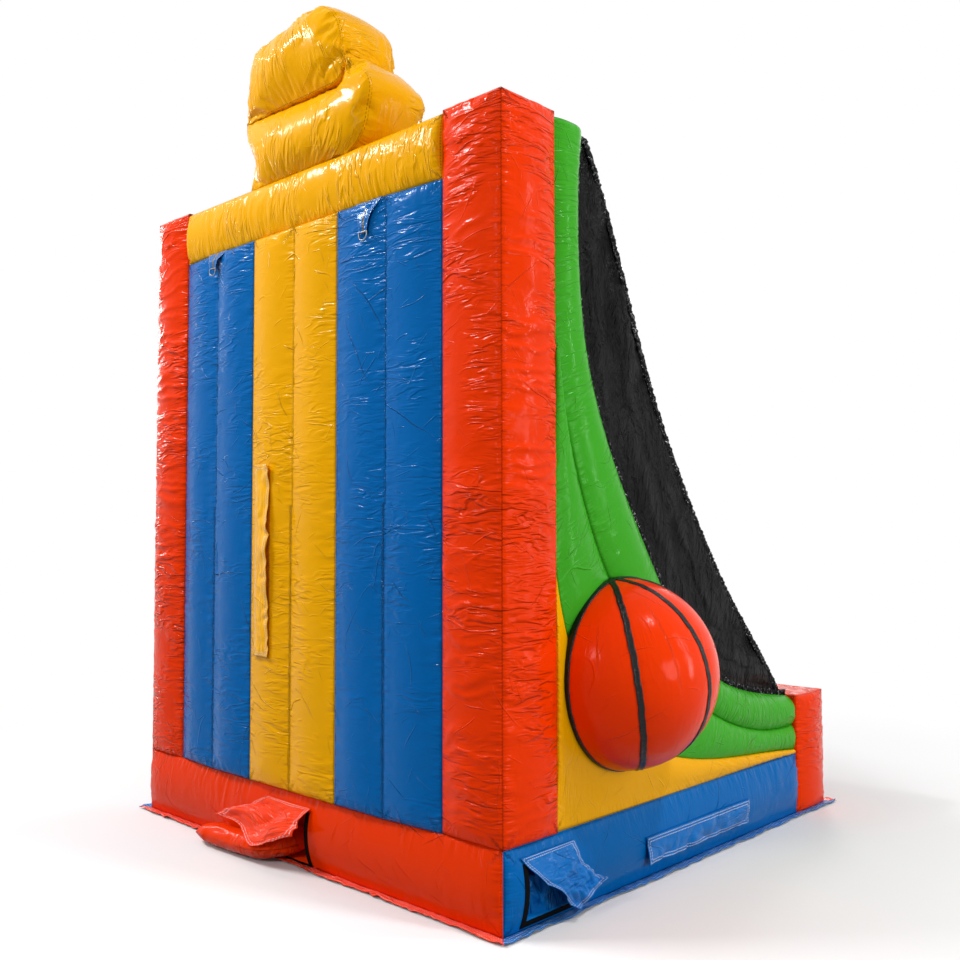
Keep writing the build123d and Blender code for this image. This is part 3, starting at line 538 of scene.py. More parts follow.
# An inflated chamber: place() gives the flat form of the unit block, and each of its six faces
# then stands out by its puff, full in the middle and nothing at its seams
def inflate(name, cuts, place, halves, puffs, way, lanes=(1, 1, 1), ends=0.11, gather=1.0, creases=0.0, seed=1,
            relax=None, fullness=1.0):
    obj = addObject(name, gridBlock(cuts))
    mesh = obj.data
    u = getPoints(mesh)
    setPoints(mesh, place(u))
    turnOutward(mesh)
    half = np.broadcast_to(np.asarray(halves(u) if callable(halves) else halves, float), u.shape)
    lane = np.floor(np.clip((u + 1) / 2 * lanes, 0, np.array(lanes) - 1e-6))
    local = 2 * ((u + 1) / 2 * lanes - lane) - 1

    def seamPlaces(i, face):  # gaps to the seams either way, places along them, and flat places on the face
        axis = face // 2
        pair = [k for k in range(3) if k != axis]
        gaps = [(1 - np.abs(local[i, k])) * half[i, k] / lanes[k] for k in pair]
        runs = [
            u[i, other] * half[i, other] + 3.7 * face + 5.3 * lane[i, k] + 0.9 * np.sign(local[i, k])
            for k, other in (pair, pair[::-1])
        ]
        main = way if way in pair else pair[1]
        cross = pair[0] if main == pair[1] else pair[1]
        flat = u[i, cross] * half[i, cross] + 2.1 * face, u[i, main] * half[i, main] + 3.7 * face
        return pair, gaps, runs, flat

    co, out = getPoints(mesh), getNormals(mesh)
    ripple, stand = np.zeros(len(u)), np.zeros(len(u))
    for face in range(6):
        axis, sign = face // 2, (-1, 1)[face % 2]
        on = np.flatnonzero(np.abs(u[:, axis] - sign) < 1e-4)
        pair, gaps, runs, flat = seamPlaces(on, face)
        profile = np.ones(len(on))
        for k in pair:
            profile *= endFall(u[on, k], half[on, k], ends) if k == way else (1 - local[on, k] ** 2) ** fullness
        stand[on] += puffs[face] * profile
        for k, gap, run in zip(pair, gaps, runs):
            ripple[on] += gather * puckers(gap, run, seed + 31 * face + 7 * k)
        nearest = np.minimum(*gaps)
        if creases:
            ripple[on] += creases * folds(*flat, seed + 13 * face) * (1 - np.exp(-nearest / slack["foldClear"]))
        wave = slack["height"] * grain(flat[1] * 3.1, flat[0] * 6 + seed, seed + 5)
        ripple[on] += wave * np.clip(nearest / slack["clear"], 0, 1)
    edge = (np.abs(np.abs(u) - 1) < 1e-4).sum(1) > 1
    ripple[edge], stand[edge] = 0, 0
    setPoints(mesh, co + out * stand[:, None])
    if relax:
        relax(obj, u)
    setPoints(mesh, getPoints(mesh) + getNormals(mesh) * ripple[:, None])

    index = cornerVertices(mesh)
    middle = u[index].reshape(-1, 4, 3).mean(1)
    side = np.abs(middle).argmax(1)
    side = np.repeat(2 * side + (middle[np.arange(len(side)), side] > 0), 4)
    seams, sheet = np.zeros((len(index), 2)), np.zeros((len(index), 2))
    for face in range(6):
        corners = np.flatnonzero(side == face)
        pair, gaps, runs, flat = seamPlaces(index[corners], face)
        nearer = gaps[1] < gaps[0]
        seams[corners] = np.column_stack((np.minimum(*gaps), np.where(nearer, runs[1], runs[0])))
        sheet[corners] = np.column_stack(flat)
    writeMap(mesh, "seams", *seams.T)
    writeMap(mesh, "sheet", *sheet.T)
    return obj


def boxPlace(low, high):
    low, high = np.array(low), np.array(high)
    return lambda u: low + (u + 1) / 2 * (high - low)


def boxHalves(low, high):
    return (np.array(high) - np.array(low)) / 2


def cutsFor(sizes, steps):
    return [max(0, round(size / step) - 1) for size, step in zip(sizes, steps)]


fineStep, wideStep, hiddenStep = 0.0095, 0.016, 0.05  # between vertices: along, across, and out of sight


def tubeChamber(name, low, high, puffs, way, material, node, slot, ends=0.11, seed=1, steps=None, creases=0.0,
                fullness=0.8):
    sizes = [h - l for l, h in zip(low, high)]
    steps = steps or [fineStep if k == way else wideStep for k in range(3)]
    obj = inflate(
        name, cutsFor(sizes, steps), boxPlace(low, high), boxHalves(low, high),
        puffs, way, ends=ends, creases=creases, seed=seed, fullness=fullness,
    )
    dress(obj, material, nodes=[node])
    return obj


# Columns, posts, beam, barrier
full = puff["tube"]
columnLook = {"creases": 0.0115, "ends": 0.11}
postLook = {"creases": 0.004, "ends": 0.07}
beamLook = {"creases": 0.005, "ends": 0.05, "seed": 23}
barrierLook = {"creases": 0.002, "ends": 0.0, "seed": 29, "steps": (0.012, 0.02, 0.018)}
for side, sign in (("left", -1), ("right", 1)):
    outer, inner = sorted((sign * halfWidth, sign * inX))
    sidePuffs = (full, 0) if sign < 0 else (0, full)
    tubeChamber(
        side + "ColumnSkin", (outer, inY, baseTop), (inner, halfDepth, columnTop),
        (*sidePuffs, 0, full, 0, 0.0), 2, creased["orange"], side + "_rear_column", "orange_vinyl",
        seed=11 + sign, **columnLook,
    )
    tubeChamber(
        side + "PostSkin", (outer, -halfDepth, sheetTop), (inner, -inY, postTop),
        (*sidePuffs, full, 0, 0, 0.0), 2, vinyls["orange"], side + "_front_post", "orange_vinyl",
        seed=17 + sign, **postLook,
    )
print("columns and posts")

tubeChamber(
    "beamSkin", (-inX, beam[0].y + puff["inside"], beamBottom), (inX, halfDepth, beamTop),
    (0, 0, puff["inside"], full, 0, 0), 0, vinyls["yellow"], "top_beam", "yellow_vinyl", **beamLook,
)
tubeChamber(
    "barrierSkin", (-inX, -halfDepth, sheetTop), (inX, -inY, postTop),
    (0, 0, full, 0, 0, full), 0, vinyls["orange"], "front_barrier", "orange_vinyl", **barrierLook,
)
print("beam and barrier")


# Back wall panels
panelLook = {"creases": 0.0016, "ends": 0.10, "lanes": (2, 1, 1)}
panelSteps = (0.0144, hiddenStep, fineStep)


def panelPlace(low, high):
    flat = boxPlace(low, high)

    def place(u):
        co = flat(u)
        proud = puff["proud"] * np.clip((inX - np.abs(co[:, 0])) / (inX / 3), 0, 1)
        co[:, 1] += (u[:, 1] + 1) / 2 * proud
        return co

    return place


for name, x0, key in (("left", -inX, "blue"), ("center", -inX / 3, "yellow"), ("right", inX / 3, "blue")):
    low, high = (x0, wallFront, baseTop), (x0 + inX * 2 / 3, halfDepth, beamBottom)
    sizes = [h - l for l, h in zip(low, high)]
    obj = inflate(
        name + "PanelSkin", cutsFor(sizes, panelSteps), panelPlace(low, high),
        boxHalves(low, high), (0, 0, puff["inside"], puff["wall"], 0, 0), 2, seed=41 + len(name), **panelLook,
    )
    dress(obj, panelVinyls[key], nodes=["back_panel_" + name])
print("back wall")


# Base tubes, mitred at the rear corners
baseLook = {"closing": 0.13, "sideHalf": 1.23, "rearCreases": 0.0012, "sideGather": 0.8}
baseSteps = {"along": fineStep, "inward": 0.03, "upward": 0.0145}


def rearTubePlace(u):
    z = sheetTop + (u[:, 2] + 1) / 2 * (baseTop - sheetTop)
    bulge = full * (1 - u[:, 2] ** 2) * endFall(u[:, 0], halfWidth, baseLook["closing"])
    y = inY + (u[:, 1] + 1) / 2 * (halfDepth - inY + bulge)
    return np.column_stack((u[:, 0] * (inX + np.minimum(y, halfDepth) - inY), y, z))


def sideTubePlace(u):
    z = sheetTop + (u[:, 2] + 1) / 2 * (baseTop - sheetTop)
    bulge = full * (1 - u[:, 2] ** 2) * endFall(u[:, 1], baseLook["sideHalf"], baseLook["closing"])
    x = -inX - (1 - u[:, 0]) / 2 * (tube + bulge)
    rear = inY + np.minimum(-inX - x, tube)
    return np.column_stack((x, -inY + (u[:, 1] + 1) / 2 * (rear + inY), z))


def openPort(obj, low, high, axis, depth):  # pushes the skin inside a window into the tube, as a pocket
    bm = bmesh.new()
    bm.from_mesh(obj.data)
    low, high = Vector(low), Vector(high)
    window = [f for f in bm.faces if all(low[k] < f.calc_center_median()[k] < high[k] for k in range(3))]
    pushed = bmesh.ops.extrude_face_region(bm, geom=window)["geom"]
    bmesh.ops.delete(bm, geom=window, context="FACES_ONLY")
    for vert in [g for g in pushed if isinstance(g, bmesh.types.BMVert)]:
        vert.co[axis] = depth
    bm.to_mesh(obj.data)
    bm.free()


ports = {
    "rear": {"x": (-0.135, 0.155), "z": (0.018, 0.268), "depth": 0.09},
    "side": {"y": (1.0, 1.285), "z": (0.045, 0.275), "depth": 0.11},
}
rearSteps = (baseSteps["along"], baseSteps["inward"], baseSteps["upward"])
rearTube = inflate(
    "rearTubeSkin", cutsFor((2 * halfWidth, tube, tube), rearSteps), rearTubePlace,
    (halfWidth, tube / 2, tube / 2), (0,) * 6, 0, ends=0, seed=61, creases=baseLook["rearCreases"],
)
openPort(
    rearTube, (ports["rear"]["x"][0], halfDepth - 0.01, ports["rear"]["z"][0]),
    (ports["rear"]["x"][1], halfDepth + 0.1, ports["rear"]["z"][1]), 1, halfDepth - ports["rear"]["depth"],
)
dress(rearTube, taut["orange"], nodes=["rear_base_tube"])
sideSteps = (baseSteps["inward"], baseSteps["along"], baseSteps["upward"])
for side, sign in (("left", -1), ("right", 1)):
    obj = inflate(
        side + "TubeSkin", cutsFor((tube, 2 * baseLook["sideHalf"], tube), sideSteps),
        lambda u: sideTubePlace(u) * np.array((-sign, 1, 1)),
        (tube / 2, baseLook["sideHalf"], tube / 2), (0,) * 6, 1, ends=0, seed=67 + sign, gather=baseLook["sideGather"],
    )
    if sign < 0:
        openPort(
            obj, (-halfWidth - 0.1, ports["side"]["y"][0], ports["side"]["z"][0]),
            (-halfWidth + 0.01, ports["side"]["y"][1], ports["side"]["z"][1]), 0, -halfWidth + ports["side"]["depth"],
        )
    dress(obj, taut["blue"], nodes=[side + "_base_tube"])
print("base tubes")


# Side walls
def smoothLine(knots, count):  # evenly spaced points on the smooth curve through the knots, as the CAD has it
    knots = np.array(knots, float)
    t = np.r_[0, np.cumsum(np.linalg.norm(np.diff(knots, axis=0), axis=1))]
    n, h = len(t), np.diff(t)
    reach = min(4, n)
    slope = [
        np.array([np.polyval(np.polyder(np.polyfit(t[s], knots[s, k], reach - 1)), t[e]) for k in range(2)])
        for s, e in ((slice(0, reach), 0), (slice(-reach, None), -1))
    ]
    a, b = np.zeros((n, n)), np.zeros((n, 2))
    step = np.diff(knots, axis=0) / h[:, None]
    for i in range(1, n - 1):
        a[i, i - 1:i + 2] = h[i - 1], 2 * (h[i - 1] + h[i]), h[i]
        b[i] = 6 * (step[i] - step[i - 1])
    a[0, :2], b[0] = (2 * h[0], h[0]), 6 * (step[0] - slope[0])
    a[-1, -2:], b[-1] = (h[-1], 2 * h[-1]), 6 * (slope[1] - step[-1])
    bend = np.linalg.solve(a, b)
    s = np.linspace(0, t[-1], 1200)
    i = np.clip(np.searchsorted(t, s, side="right") - 1, 0, n - 2)
    p, q = (t[i + 1] - s)[:, None], (s - t[i])[:, None]
    d = h[i][:, None]
    line = (bend[i] * p**3 + bend[i + 1] * q**3) / (6 * d)
    line += (knots[i] / d - bend[i] * d / 6) * p + (knots[i + 1] / d - bend[i + 1] * d / 6) * q
    return spread(line, count)


def spread(line, count):  # the same line with its points evenly spaced
    run = np.r_[0, np.cumsum(np.linalg.norm(np.diff(line, axis=0), axis=1))]
    s = np.linspace(0, run[-1], count)
    return np.column_stack([np.interp(s, run, line[:, k]) for k in range(line.shape[1])])


def atShare(line, share):  # point of a line at a share of its length
    where = np.clip(share, 0, 1) * (len(line) - 1)
    return np.column_stack([np.interp(where, np.arange(len(line)), line[:, k]) for k in range(line.shape[1])])


def sweepCurve(rear, shares, front, count=600):
    drop = rear[1] - front[1]
    return smoothLine([rear, *[(y * inY, front[1] + z * drop) for y, z in shares], front], count)


sweep = {  # the same named heights as the CAD, in metres
    "netTopInset": 0.245, "bottom": 0.655, "seamTop": 2.43, "seamBottom": 0.495,
    "gussetTop": 1.48, "gussetTip": 0.355,
    "netTopWidth": 0.06, "netTopDrop": 0.004, "netEndWidth": 0.05, "netEndRise": 0.007,
    "seamSink": 0.022, "edgeSink": 0.05,  # how far the skin rolls in at a shared seam and at the net
    "puff": 0.014, "ends": 0.08, "gather": 0.6, "creases": 0.0012, "rollPower": 2.6,
}
netTopRear = inY - sweep["netTopInset"]
netEdge = sweepCurve(
    (netTopRear, beamTop), [(0.802, 0.783), (0.722, 0.608), (0.274, 0.294), (-0.259, 0.071), (-0.684, 0.018)],
    (-inY, sweep["bottom"]),
)
chamberSeam = sweepCurve(
    (inY, sweep["seamTop"]), [(0.934, 0.86), (0.83, 0.685), (0.651, 0.481), (0.245, 0.24), (-0.349, 0.054)],
    (-inY, sweep["seamBottom"]),
)
gussetSeam = sweepCurve(
    (inY, sweep["gussetTop"]), [(0.967, 0.84), (0.896, 0.644), (0.66, 0.369), (0.184, 0.147), (-0.472, 0.049)],
    (-inY, sweep["gussetTip"]),
)
netFront = sweepCurve(
    (netTopRear - sweep["netTopWidth"], beamTop - sweep["netTopDrop"]),
    [(0.58, 0.903), (0.203, 0.576), (-0.075, 0.401), (-0.458, 0.21), (-0.877, 0.038)],
    (-inY + sweep["netEndWidth"], sweep["bottom"] + sweep["netEndRise"]),
)


# A side wall chamber between two seams; sinks say how far its faces roll in at each
def sweptChamber(name, upper, lower, sinks, sign, cuts, seed):
    thick = halfWidth - wallInX

    def place(u):
        s, t, w = (u[:, 0] + 1) / 2, (u[:, 1] + 1) / 2, u[:, 2]
        a, b = atShare(lower, s), atShare(upper, s)
        yz = a + (b - a) * t[:, None]
        rolls = [np.clip(half, 0, 1) ** sweep["rollPower"] for half in (1 - 2 * t, 2 * t - 1)]
        sink = sinks[0] * rolls[0] + sinks[1] * rolls[1]
        middle = (halfWidth + wallInX) / 2
        x = middle + w * (thick / 2 - sink)
        return np.column_stack((sign * x, yz))

    def halves(u):
        s = (u[:, 0] + 1) / 2
        width = np.linalg.norm(atShare(upper, s) - atShare(lower, s), axis=1) / 2
        length = np.full(len(u), np.linalg.norm(np.diff(upper, axis=0), axis=1).sum() / 2)
        return np.column_stack((length, width, np.full(len(u), thick / 2)))

    obj = inflate(
        name, cuts, place, halves, (0, 0, 0, *[sweep["puff"]] * 3), 0,
        ends=sweep["ends"], gather=sweep["gather"], creases=sweep["creases"], seed=seed,
    )
    weld(obj.data)
    return obj


columnLine = np.array([(inY, beamTop), (inY, sweep["seamTop"])])
outerLower = spread(np.vstack((columnLine, chamberSeam[1:])), 800)
columnLine = np.array([(inY, sweep["seamTop"]), (inY, sweep["gussetTop"])])
innerLower = spread(np.vstack((columnLine, gussetSeam[1:])), 800)
baseLine = spread(np.array([(inY, baseTop), (-inY, baseTop)]), 600)
seamSink, edgeSink = sweep["seamSink"], sweep["edgeSink"]
for side, sign in (("left", -1), ("right", 1)):
    for name, node, upper, lower, sinks, cuts, seed, material, slot in (
        ("OuterSweepSkin", "_outer_curve_tube", netEdge, outerLower, (seamSink, edgeSink), (390, 18, 8), 71,
         greenVinyl, "green_vinyl"),
        ("InnerSweepSkin", "_inner_curve_panel", chamberSeam, innerLower, (0.012, seamSink), (330, 22, 4), 77,
         greenVinyl, "green_vinyl"),
        ("GussetSkin", "_gusset_panel", gussetSeam, baseLine, (0.008, 0.01), (230, 48, 4), 83,
         taut["yellow"], "yellow_vinyl"),
    ):
        obj = sweptChamber(side + name, upper, lower, sinks, sign, cuts, seed + sign)
        dress(obj, material, nodes=[side + node])
print("side walls")


# Side balls
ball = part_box("left_side_ball")
ballLook = {
    "radius": (ball[1].z - ball[0].z) / 2, "tilt": 11, "gorePuff": 0.013, "tapeWidth": 0.027, "tapeProud": 0.0042,
    "tapeEdge": 0.002, "tapes": (-52, -6, 44.5),  # seams in degrees, from the front to the rear
    "gather": 0.45, "segments": (208, 128), "tapeCuts": (78, 3, 0), "tapeSunk": 0.004, "rimTape": 1.4,  # times as wide
}
ballMiddle = Vector((-halfWidth, (ball[0].y + ball[1].y) / 2, (ball[0].z + ball[1].z) / 2))
goreSeams = np.radians([-90, *ballLook["tapes"], 90])


# How far the ball's skin stands off the plain sphere; tapes pull it in
def ballHeight(longitude, latitude, seed, gather=ballLook["gather"]):
    gore = np.clip(np.searchsorted(goreSeams, longitude, side="right") - 1, 0, len(goreSeams) - 2)
    low, high = longitude - goreSeams[gore], goreSeams[gore + 1] - longitude
    across = np.clip(2 * np.minimum(low, high) / (goreSeams[gore + 1] - goreSeams[gore]), 0, 1)
    distance = np.clip(np.minimum(low, high), 0, 9) * ballLook["radius"] * np.cos(latitude)
    along = latitude * ballLook["radius"]
    swell = ballLook["gorePuff"] * (np.sqrt(1 - (1 - across) ** 2) - 0.8) * np.cos(latitude)
    lean = np.where(high < low, 11.0, 3.0) + gore * 5
    return swell + gather * puckers(distance, along + lean, seed), distance, along + lean


def ballPlace(points, sign):
    turn = np.array(Matrix.Rotation(math.radians(-ballLook["tilt"]), 3, "X"))
    return (points @ turn.T + np.array(ballMiddle)) * np.array((-sign, 1, 1))


def mapByVertex(mesh, name, first, second):
    index = cornerVertices(mesh)
    writeMap(mesh, name, first[index], second[index])


def sideBall(side, sign):
    bm = bmesh.new()
    bmesh.ops.create_uvsphere(bm, u_segments=ballLook["segments"][0], v_segments=ballLook["segments"][1], radius=1)
    geometry = bm.verts[:] + bm.edges[:] + bm.faces[:]
    bmesh.ops.bisect_plane(bm, geom=geometry, plane_co=(0, 0, 0), plane_no=(1, 0, 0), clear_outer=True)
    bmesh.ops.holes_fill(bm, edges=[e for e in bm.edges if e.is_boundary], sides=0)
    obj = addObject(side + "BallSkin", bm)
    unit = getPoints(obj.data)
    longitude, latitude = np.arctan2(unit[:, 1], -unit[:, 0]), np.arcsin(np.clip(unit[:, 2], -1, 1))
    height, distance, along = ballHeight(longitude, latitude, 91 + sign)
    setPoints(obj.data, ballPlace(unit * (ballLook["radius"] + height)[:, None], sign))
    turnOutward(obj.data)
    mapByVertex(obj.data, "seams", distance, along)
    mapByVertex(obj.data, "sheet", along, longitude * ballLook["radius"])
    dress(obj, ballVinyl, nodes=[side + "_side_ball"])

    bm = bmesh.new()
    for gore, seam in enumerate(goreSeams):  # the outer two are the rim tape
        strip = gridBlock(ballLook["tapeCuts"])
        u = np.array([v.co for v in strip.verts])
        latitude, half = u[:, 0] * math.pi / 2, ballLook["tapeWidth"] / 2
        wander = ballLook["tapeEdge"] * np.sin(u[:, 0] * 41 + gore) * np.sin(u[:, 0] * 17 + 2 * gore)
        offset = u[:, 1] * half * (0.55 + 0.45 * np.minimum(1, (1 - np.abs(u[:, 0])) * 12)) + wander
        if gore in (0, len(goreSeams) - 1):
            offset = (u[:, 1] - math.copysign(1, seam)) * half * ballLook["rimTape"]
        place = seam + offset / ballLook["radius"] / np.maximum(np.cos(latitude), 0.05)
        skin, _, _ = ballHeight(np.clip(place, -math.pi / 2, math.pi / 2 - 1e-6), latitude, 91 + sign, 0)
        radius = ballLook["radius"] + skin + np.where(u[:, 2] > 0, ballLook["tapeProud"], -ballLook["tapeSunk"])
        forward = np.column_stack((
            -math.cos(seam) * np.cos(latitude), math.sin(seam) * np.cos(latitude), np.sin(latitude),
        ))
        sideways = np.array((math.sin(seam), math.cos(seam), 0))
        points = forward + sideways * (offset / ballLook["radius"])[:, None]
        points *= (radius / np.linalg.norm(points, axis=1))[:, None]
        for vert, point in zip(strip.verts, points):
            vert.co = point
        shell = bpy.data.meshes.new("strip")
        strip.to_mesh(shell)
        strip.free()
        bm.from_mesh(shell)
        bpy.data.meshes.remove(shell)
    obj = addObject(side + "BallTapeStrips", bm)
    setPoints(obj.data, ballPlace(getPoints(obj.data), sign))
    bm = bmesh.new()
    bm.from_mesh(obj.data)
    bmesh.ops.recalc_face_normals(bm, faces=bm.faces)
    bm.to_mesh(obj.data)
    bm.free()
    dress(obj, tapeBlack, nodes=[side + "_ball_tapes"])


for side, sign in (("left", -1), ("right", 1)):
    sideBall(side, sign)
print("side balls")


# Topper lobes
topperLook = {  # corners of its outline are x and height over the beam
    "depth": 0.33, "inset": 0.005, "footLeft": (-0.345, 0.0), "footRight": (0.425, 0.0), "notch": (-0.345, 0.487),
    "seam": (0.475, 0.372), "shoulder": (0.362, 0.752), "peak": (-0.135, 0.812),
    "cuts": (84, 32, 46), "ends": 0.2, "gather": 1.5, "creases": 0.003, "halfWidth": 0.42, "halfHeight": 0.21,
}
blowLook = {
    "pressure": 3.2, "cap": 0.055, "frames": 22, "shrink": -0.03, "mass": 0.15, "stretch": 30, "shear": 12,
    "bending": 0.2, "quality": 4,
}


# Fills the space between four lines: two from left to right, two from bottom to top
def coons(bottom, right, top, left, s, t):
    across = atShare(bottom, s) * (1 - t)[:, None] + atShare(top, s) * t[:, None]
    upward = atShare(left, t) * (1 - s)[:, None] + atShare(right, t) * s[:, None]
    s, t = s[:, None], t[:, None]
    corners = (1 - t) * ((1 - s) * bottom[0] + s * bottom[-1]) + t * ((1 - s) * top[0] + s * top[-1])
    return across + upward - corners


def blowUp(pinned):  # cloth pressure on a chamber; no point moves further than the cap

    def relax(obj, u):
        mesh, rest = obj.data, getPoints(obj.data)
        group = obj.vertex_groups.new(name="pinned")
        held = np.flatnonzero(pinned(u))
        if len(held):
            group.add([int(i) for i in held], 1.0, "REPLACE")
        modifier = obj.modifiers.new("cloth", "CLOTH")
        settings = modifier.settings
        settings.quality = blowLook["quality"]
        settings.mass = blowLook["mass"]
        settings.tension_stiffness = settings.compression_stiffness = blowLook["stretch"]
        settings.shear_stiffness = blowLook["shear"]
        settings.bending_stiffness = blowLook["bending"]
        settings.shrink_min = blowLook["shrink"]
        settings.use_pressure = True
        settings.uniform_pressure_force = blowLook["pressure"]
        settings.effector_weights.gravity = 0
        settings.vertex_group_mass = group.name
        modifier.point_cache.frame_start, modifier.point_cache.frame_end = 1, blowLook["frames"]
        scene = bpy.context.scene
        for frameNumber in range(1, blowLook["frames"] + 1):
            scene.frame_set(frameNumber)
        shaped = obj.evaluated_get(bpy.context.evaluated_depsgraph_get())
        moved = getPoints(shaped.data)
        obj.modifiers.remove(modifier)
        obj.vertex_groups.remove(group)
        scene.frame_set(1)
        step = moved - rest
        length = np.linalg.norm(step, axis=1)
        step *= np.minimum(1, blowLook["cap"] / np.maximum(length, 1e-9))[:, None]
        setPoints(mesh, rest + step)

    return relax


def topperLobe(name, node, sides, gusset, seed):
    rear = halfDepth - topperLook["inset"]
    front = rear - topperLook["depth"]

    def place(u):
        xz = coons(*sides, (u[:, 0] + 1) / 2, (u[:, 2] + 1) / 2)
        y = front + (u[:, 1] + 1) / 2 * (rear - front)
        return np.column_stack((xz[:, 0], y, beamTop + xz[:, 1]))

    halves = (topperLook["halfWidth"], topperLook["depth"] / 2, topperLook["halfHeight"])
    obj = inflate(
        name, topperLook["cuts"], place, halves, gusset, 0, ends=topperLook["ends"],
        gather=topperLook["gather"], creases=topperLook["creases"], seed=seed,
        relax=blowUp(lambda u: u[:, 2] < -0.999),  # the lobe's own foot is sewn down
    )
    dress(obj, vinyls["yellow"], nodes=[node])


footLeft, footRight, notch, seamEnd, shoulder, peak = (
    np.array(topperLook[key]) for key in ("footLeft", "footRight", "notch", "seam", "shoulder", "peak")
)
lobeSeam = spread(
    np.array([notch, (-0.338, 0.425), (-0.318, 0.385), (-0.270, 0.371), (0.0, 0.373), (0.2, 0.376), seamEnd]), 200,
)
lowerLeft = smoothLine([
    footLeft, (-0.430, 0.050), (-0.500, 0.130), (-0.522, 0.230), (-0.532, 0.300), (-0.500, 0.370), (-0.430, 0.420),
    notch,
], 200)
lowerRight = smoothLine([footRight, (0.412, 0.090), (0.420, 0.175), (0.455, 0.262), (0.471, 0.330), seamEnd], 200)
foot = spread(np.array([footLeft, footRight]), 50)
crownRight = smoothLine([seamEnd, (0.462, 0.450), (0.436, 0.570), (0.402, 0.690), shoulder], 200)
crownTop = smoothLine([peak, (0.000, 0.820), (0.160, 0.804), shoulder], 200)
crownLeft = smoothLine([notch, (-0.332, 0.575), (-0.305, 0.670), (-0.250, 0.745), peak], 200)
topperLobe(
    "lowerLobeSkin", "topper_lower_lobe", (foot, lowerRight, lobeSeam, lowerLeft),
    (0.016, 0.02, 0.03, 0.045, 0, 0.014), 131,
)
topperLobe(
    "upperLobeSkin", "topper_upper_lobe", (lobeSeam, crownRight, crownTop, crownLeft),
    (0.018, 0.012, 0.03, 0.045, 0, 0.014), 137,
)
print("topper")


# Side nets and their gathered borders
netX = (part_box("left_side_net")[0].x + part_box("left_side_net")[1].x) / 2
hem = {
    "width": 0.036, "thick": 0.007, "cuts": (760, 5, 0), "puff": 0.002,
    "crumple": 0.0045, "crumples": 420, "wander": 0.003, "wanders": 300,  # how far, and how many along an edge
}
netLook = {
    "cutWidth": 1.1, "cuts": (300, 70), "drape": 0.015, "ripple": 0.005, "folds": 0.009,
    "clear": 0.05,  # from its sewn edges
}


def netSheet(side, sign):
    bm = bmesh.new()
    bmesh.ops.create_grid(bm, x_segments=netLook["cuts"][0], y_segments=netLook["cuts"][1], size=1)
    obj = addObject(side + "NetSheet", bm)
    u = getPoints(obj.data)
    s, t = (u[:, 0] + 1) / 2, (u[:, 1] + 1) / 2
    a, b = atShare(netEdge, s), atShare(netFront, s)
    yz = a + (b - a) * t[:, None]
    width = np.linalg.norm(b - a, axis=1)
    run = np.linalg.norm(np.diff(netEdge, axis=0), axis=1).sum()
    drape = netLook["drape"] * grain(t * width * 9 + 3 * s, s * run * 1.1, 101)
    drape += netLook["ripple"] * grain(t * width * 26, s * run * 3, 102)
    drape += netLook["folds"] * folds(s * run, t * width, 103) + netLook["folds"] * folds(t * width, s * run, 104)
    drape *= np.clip(np.minimum(t, 1 - t) * width / netLook["clear"], 0, 1)
    setPoints(obj.data, np.column_stack((-sign * (netX + drape), yz)))
    mapByVertex(obj.data, "seams", t * width, s * run)
    dress(obj, blackMesh, nodes=[side + "_side_net"])


def hemStrip(side, sign):  # gathered strip along both long edges of the net
    whole = bmesh.new()
    for line, inward, seed in ((netEdge, 1, 111), (netFront, -1, 117)):
        edge = spread(line, 700)
        direction = np.gradient(edge, axis=0)
        direction /= np.linalg.norm(direction, axis=1)[:, None]
        across = np.column_stack((direction[:, 1], -direction[:, 0])) * inward

        def place(u, edge=edge, across=across, seed=seed):
            s = (u[:, 0] + 1) / 2
            base, over = atShare(edge, s), atShare(across, s)
            wander = hem["wander"] * grain(s * hem["wanders"], s * 0 + 2, seed)
            reach = hem["width"] * (u[:, 1] + 1) / 2 + wander
            crumple = hem["crumple"] * grain(s * hem["crumples"], u[:, 1] * 1.5 + 9, seed + 1)
            x = netX + u[:, 2] * hem["thick"] / 2 + crumple
            return np.column_stack((-sign * x, base + over * reach[:, None]))

        length = np.linalg.norm(np.diff(edge, axis=0), axis=1).sum()
        strip = inflate(
            "strip", hem["cuts"], place, (length / 2, hem["width"] / 2, hem["thick"] / 2),
            (0, 0, 0, 0, hem["puff"], hem["puff"]), 0, ends=0.01, gather=0.3, seed=seed,
        )
        whole.from_mesh(strip.data)
        bpy.data.objects.remove(strip)
    obj = addObject(side + "NetHem", whole)
    dress(obj, borderBlack, nodes=[side + "_net_border"])


for side, sign in (("left", -1), ("right", 1)):
    hemStrip(side, sign)
    netSheet(side, sign)
print("nets")


# Loose sheets: flaps, tabs and skirt
def line3(points, count=120):  # a smooth line along points in space
    points = np.array(points, float)
    if len(points) == 2:
        return spread(points, count)
    t = np.r_[0, np.cumsum(np.linalg.norm(np.diff(points, axis=0), axis=1))]
    s = np.linspace(0, t[-1], count)
    straight = np.column_stack([np.interp(s, t, points[:, k]) for k in range(3)])
    kernel = np.hanning(count // 6 * 2 + 1)
    kernel /= kernel.sum()
    pad = len(kernel) // 2
    wide = np.vstack((2 * straight[0] - straight[pad:0:-1], straight, 2 * straight[-1] - straight[-2:-pad - 2:-1]))
    return np.column_stack([np.convolve(wide[:, k], kernel, "valid") for k in range(3)])


